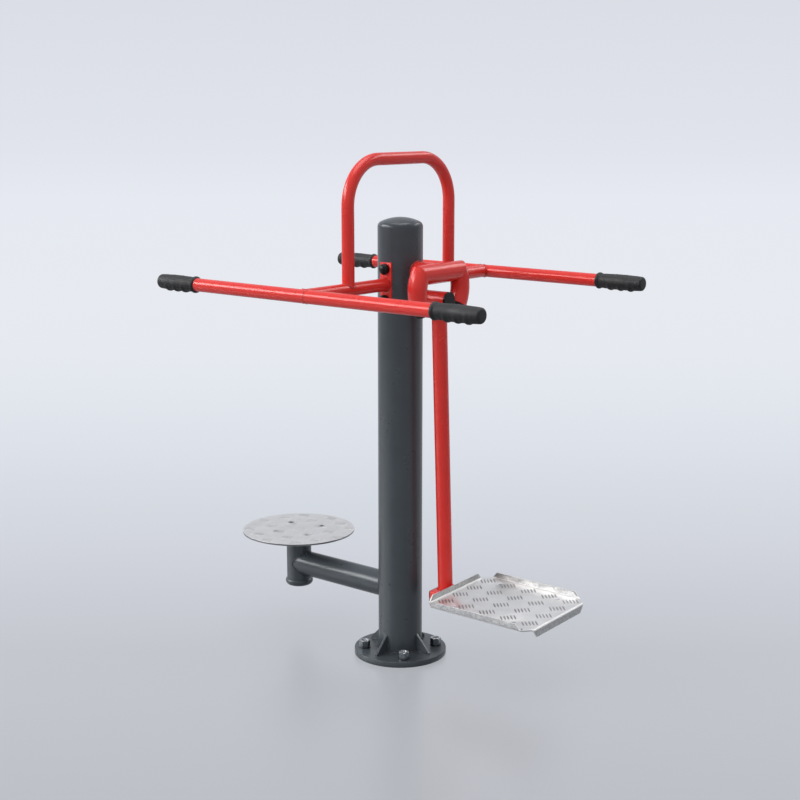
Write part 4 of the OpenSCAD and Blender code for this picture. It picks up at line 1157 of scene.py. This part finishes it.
def build_floor():
    finish, tree, shader = new_finish("studio_floor")
    colour = fade_ramp(tree)
    level = blend_colour(tree, 1.0, colour, (FLOOR_LEVEL, FLOOR_LEVEL, FLOOR_LEVEL, 1.0), "MULTIPLY")
    seen = seen_directly(tree)
    # For camera and mirrored rays the floor glows with its tones: painted light, keeping a fifth of the
    # shadow.
    held = math_node(tree, "MULTIPLY", seen, SHADOW_HELD)
    unseen = math_node(tree, "SUBTRACT", 1.0, seen)
    kept_down = math_node(tree, "MULTIPLY", unseen, 1.0 - FLOOR_BOUNCE)
    darker = math_node(tree, "ADD", held, kept_down)
    shaded = blend_colour(tree, darker, level, (0.0, 0.0, 0.0, 1.0))
    tree.links.new(shaded, shader.inputs["Base Color"])
    tree.links.new(colour, shader.inputs["Emission Color"])
    tree.links.new(math_node(tree, "MULTIPLY", held, HELD_LEVEL), shader.inputs["Emission Strength"])
    shader.inputs["Roughness"].default_value = 0.32
    shader.inputs["Specular IOR Level"].default_value = 0.8
    glow = tree.nodes.new("ShaderNodeEmission")
    tree.links.new(colour, glow.inputs["Color"])
    length = tree.nodes.new("ShaderNodeVectorMath")
    length.operation = "LENGTH"
    tree.links.new(object_place(tree), length.inputs[0])
    far = spread(tree, length.outputs["Value"], GLOW_FROM, GLOW_FULL)
    share = math_node(tree, "MULTIPLY", seen, far)
    show_mixed(tree, share, shader, glow, tree.nodes["Material Output"].inputs["Surface"])
    corners = [(x * FLOOR_HALF, y * FLOOR_HALF, 0) for x, y in ((-1, -1), (1, -1), (1, 1), (-1, 1))]
    mesh = bpy.data.meshes.new("studio_floor")
    mesh.from_pydata(corners, [], [(0, 1, 2, 3)])
    mesh.materials.append(finish)
    add_object("studio_floor", mesh)


def soft_light(tree, sky, rise, heading, level, half_rise, half_turn):
    """A wide soft light far away, as a grey level; its height, heading and half sizes are degrees."""
    middle = math.sin(math.radians(rise))
    band = abs(math.sin(math.radians(rise + half_rise)) - middle)
    off = math_node(tree, "ABSOLUTE", math_node(tree, "SUBTRACT", upward(tree, sky), middle))
    high_enough = spread(tree, off, band * 1.25, band * 0.75)
    turn = math.radians(heading)
    toward = product_along(tree, sky, (math.cos(turn), math.sin(turn), 0.0))
    near = math.cos(math.radians(rise)) * math.cos(math.radians(half_turn))
    ahead = spread(tree, toward, near - 0.05, near + 0.02)
    return math_node(tree, "MULTIPLY", math_node(tree, "MULTIPLY", high_enough, ahead), level)


def build_world():
    """Soft light from all round and from a few wide lights; the camera sees the pale backdrop."""
    world = bpy.data.worlds.new("studio_world")
    world.use_nodes = True
    tree = world.node_tree
    sky = tree.nodes.new("ShaderNodeTexCoord").outputs["Generated"]
    up = upward(tree, sky)
    ramp = tree.nodes.new("ShaderNodeValToRGB")
    tree.links.new(up, ramp.inputs["Fac"])
    for element, (place, colour) in zip(ramp.color_ramp.elements, SKY_TONES):
        element.position = place
        element.color = colour
    side = soft_light(tree, sky, **SIDE_LAMP)
    back = soft_light(tree, sky, **BACK_LAMP)
    upper = spread(tree, up, TOP_RIM[0], TOP_RIM[1], 0.0, TOP_LEVEL)
    lamps = math_node(tree, "ADD", math_node(tree, "ADD", side, back), upper)
    soft = tree.nodes["Background"]
    soft.inputs["Color"].default_value = WORLD_TONE
    toward_left = product_along(tree, sky, (LEFT[0] * LEFT_LEAN, LEFT[1] * LEFT_LEAN, 0.0))
    leaning = math_node(tree, "ADD", toward_left, 1.0)
    even = math_node(tree, "MULTIPLY", leaning, WORLD_LEVEL)
    from_lamps = math_node(tree, "MULTIPLY", lamps, LAMP_SHARE)
    tree.links.new(math_node(tree, "ADD", from_lamps, even), soft.inputs["Strength"])
    bright = tree.nodes.new("ShaderNodeCombineColor")
    for channel in ("Red", "Green", "Blue"):
        tree.links.new(lamps, bright.inputs[channel])
    backdrop = tree.nodes.new("ShaderNodeBackground")
    beyond = blend_colour(tree, 1.0, ramp.outputs["Color"], bright.outputs["Color"], "ADD")
    tree.links.new(beyond, backdrop.inputs["Color"])
    show_mixed(tree, seen_directly(tree), soft, backdrop, tree.nodes["World Output"].inputs["Surface"])
    bpy.context.scene.world = world


build_floor()
build_world()

CAMERA_AZIMUTH = 39.567
CAMERA_DOWN = 11.228
CAMERA_PLACE = (2.86845, -3.47277, 1.72357)
CAMERA_LENS = 66.0
SENSOR_WIDTH = 36.0
lens = bpy.data.cameras.new("photo_camera")
lens.sensor_width = SENSOR_WIDTH
lens.lens = CAMERA_LENS
camera = add_object("photo_camera", lens)
camera.location = CAMERA_PLACE
camera.rotation_euler = (math.radians(90 - CAMERA_DOWN), 0, math.radians(CAMERA_AZIMUTH))
bpy.context.scene.camera = camera
bpy.context.scene.view_settings.view_transform = "Standard"
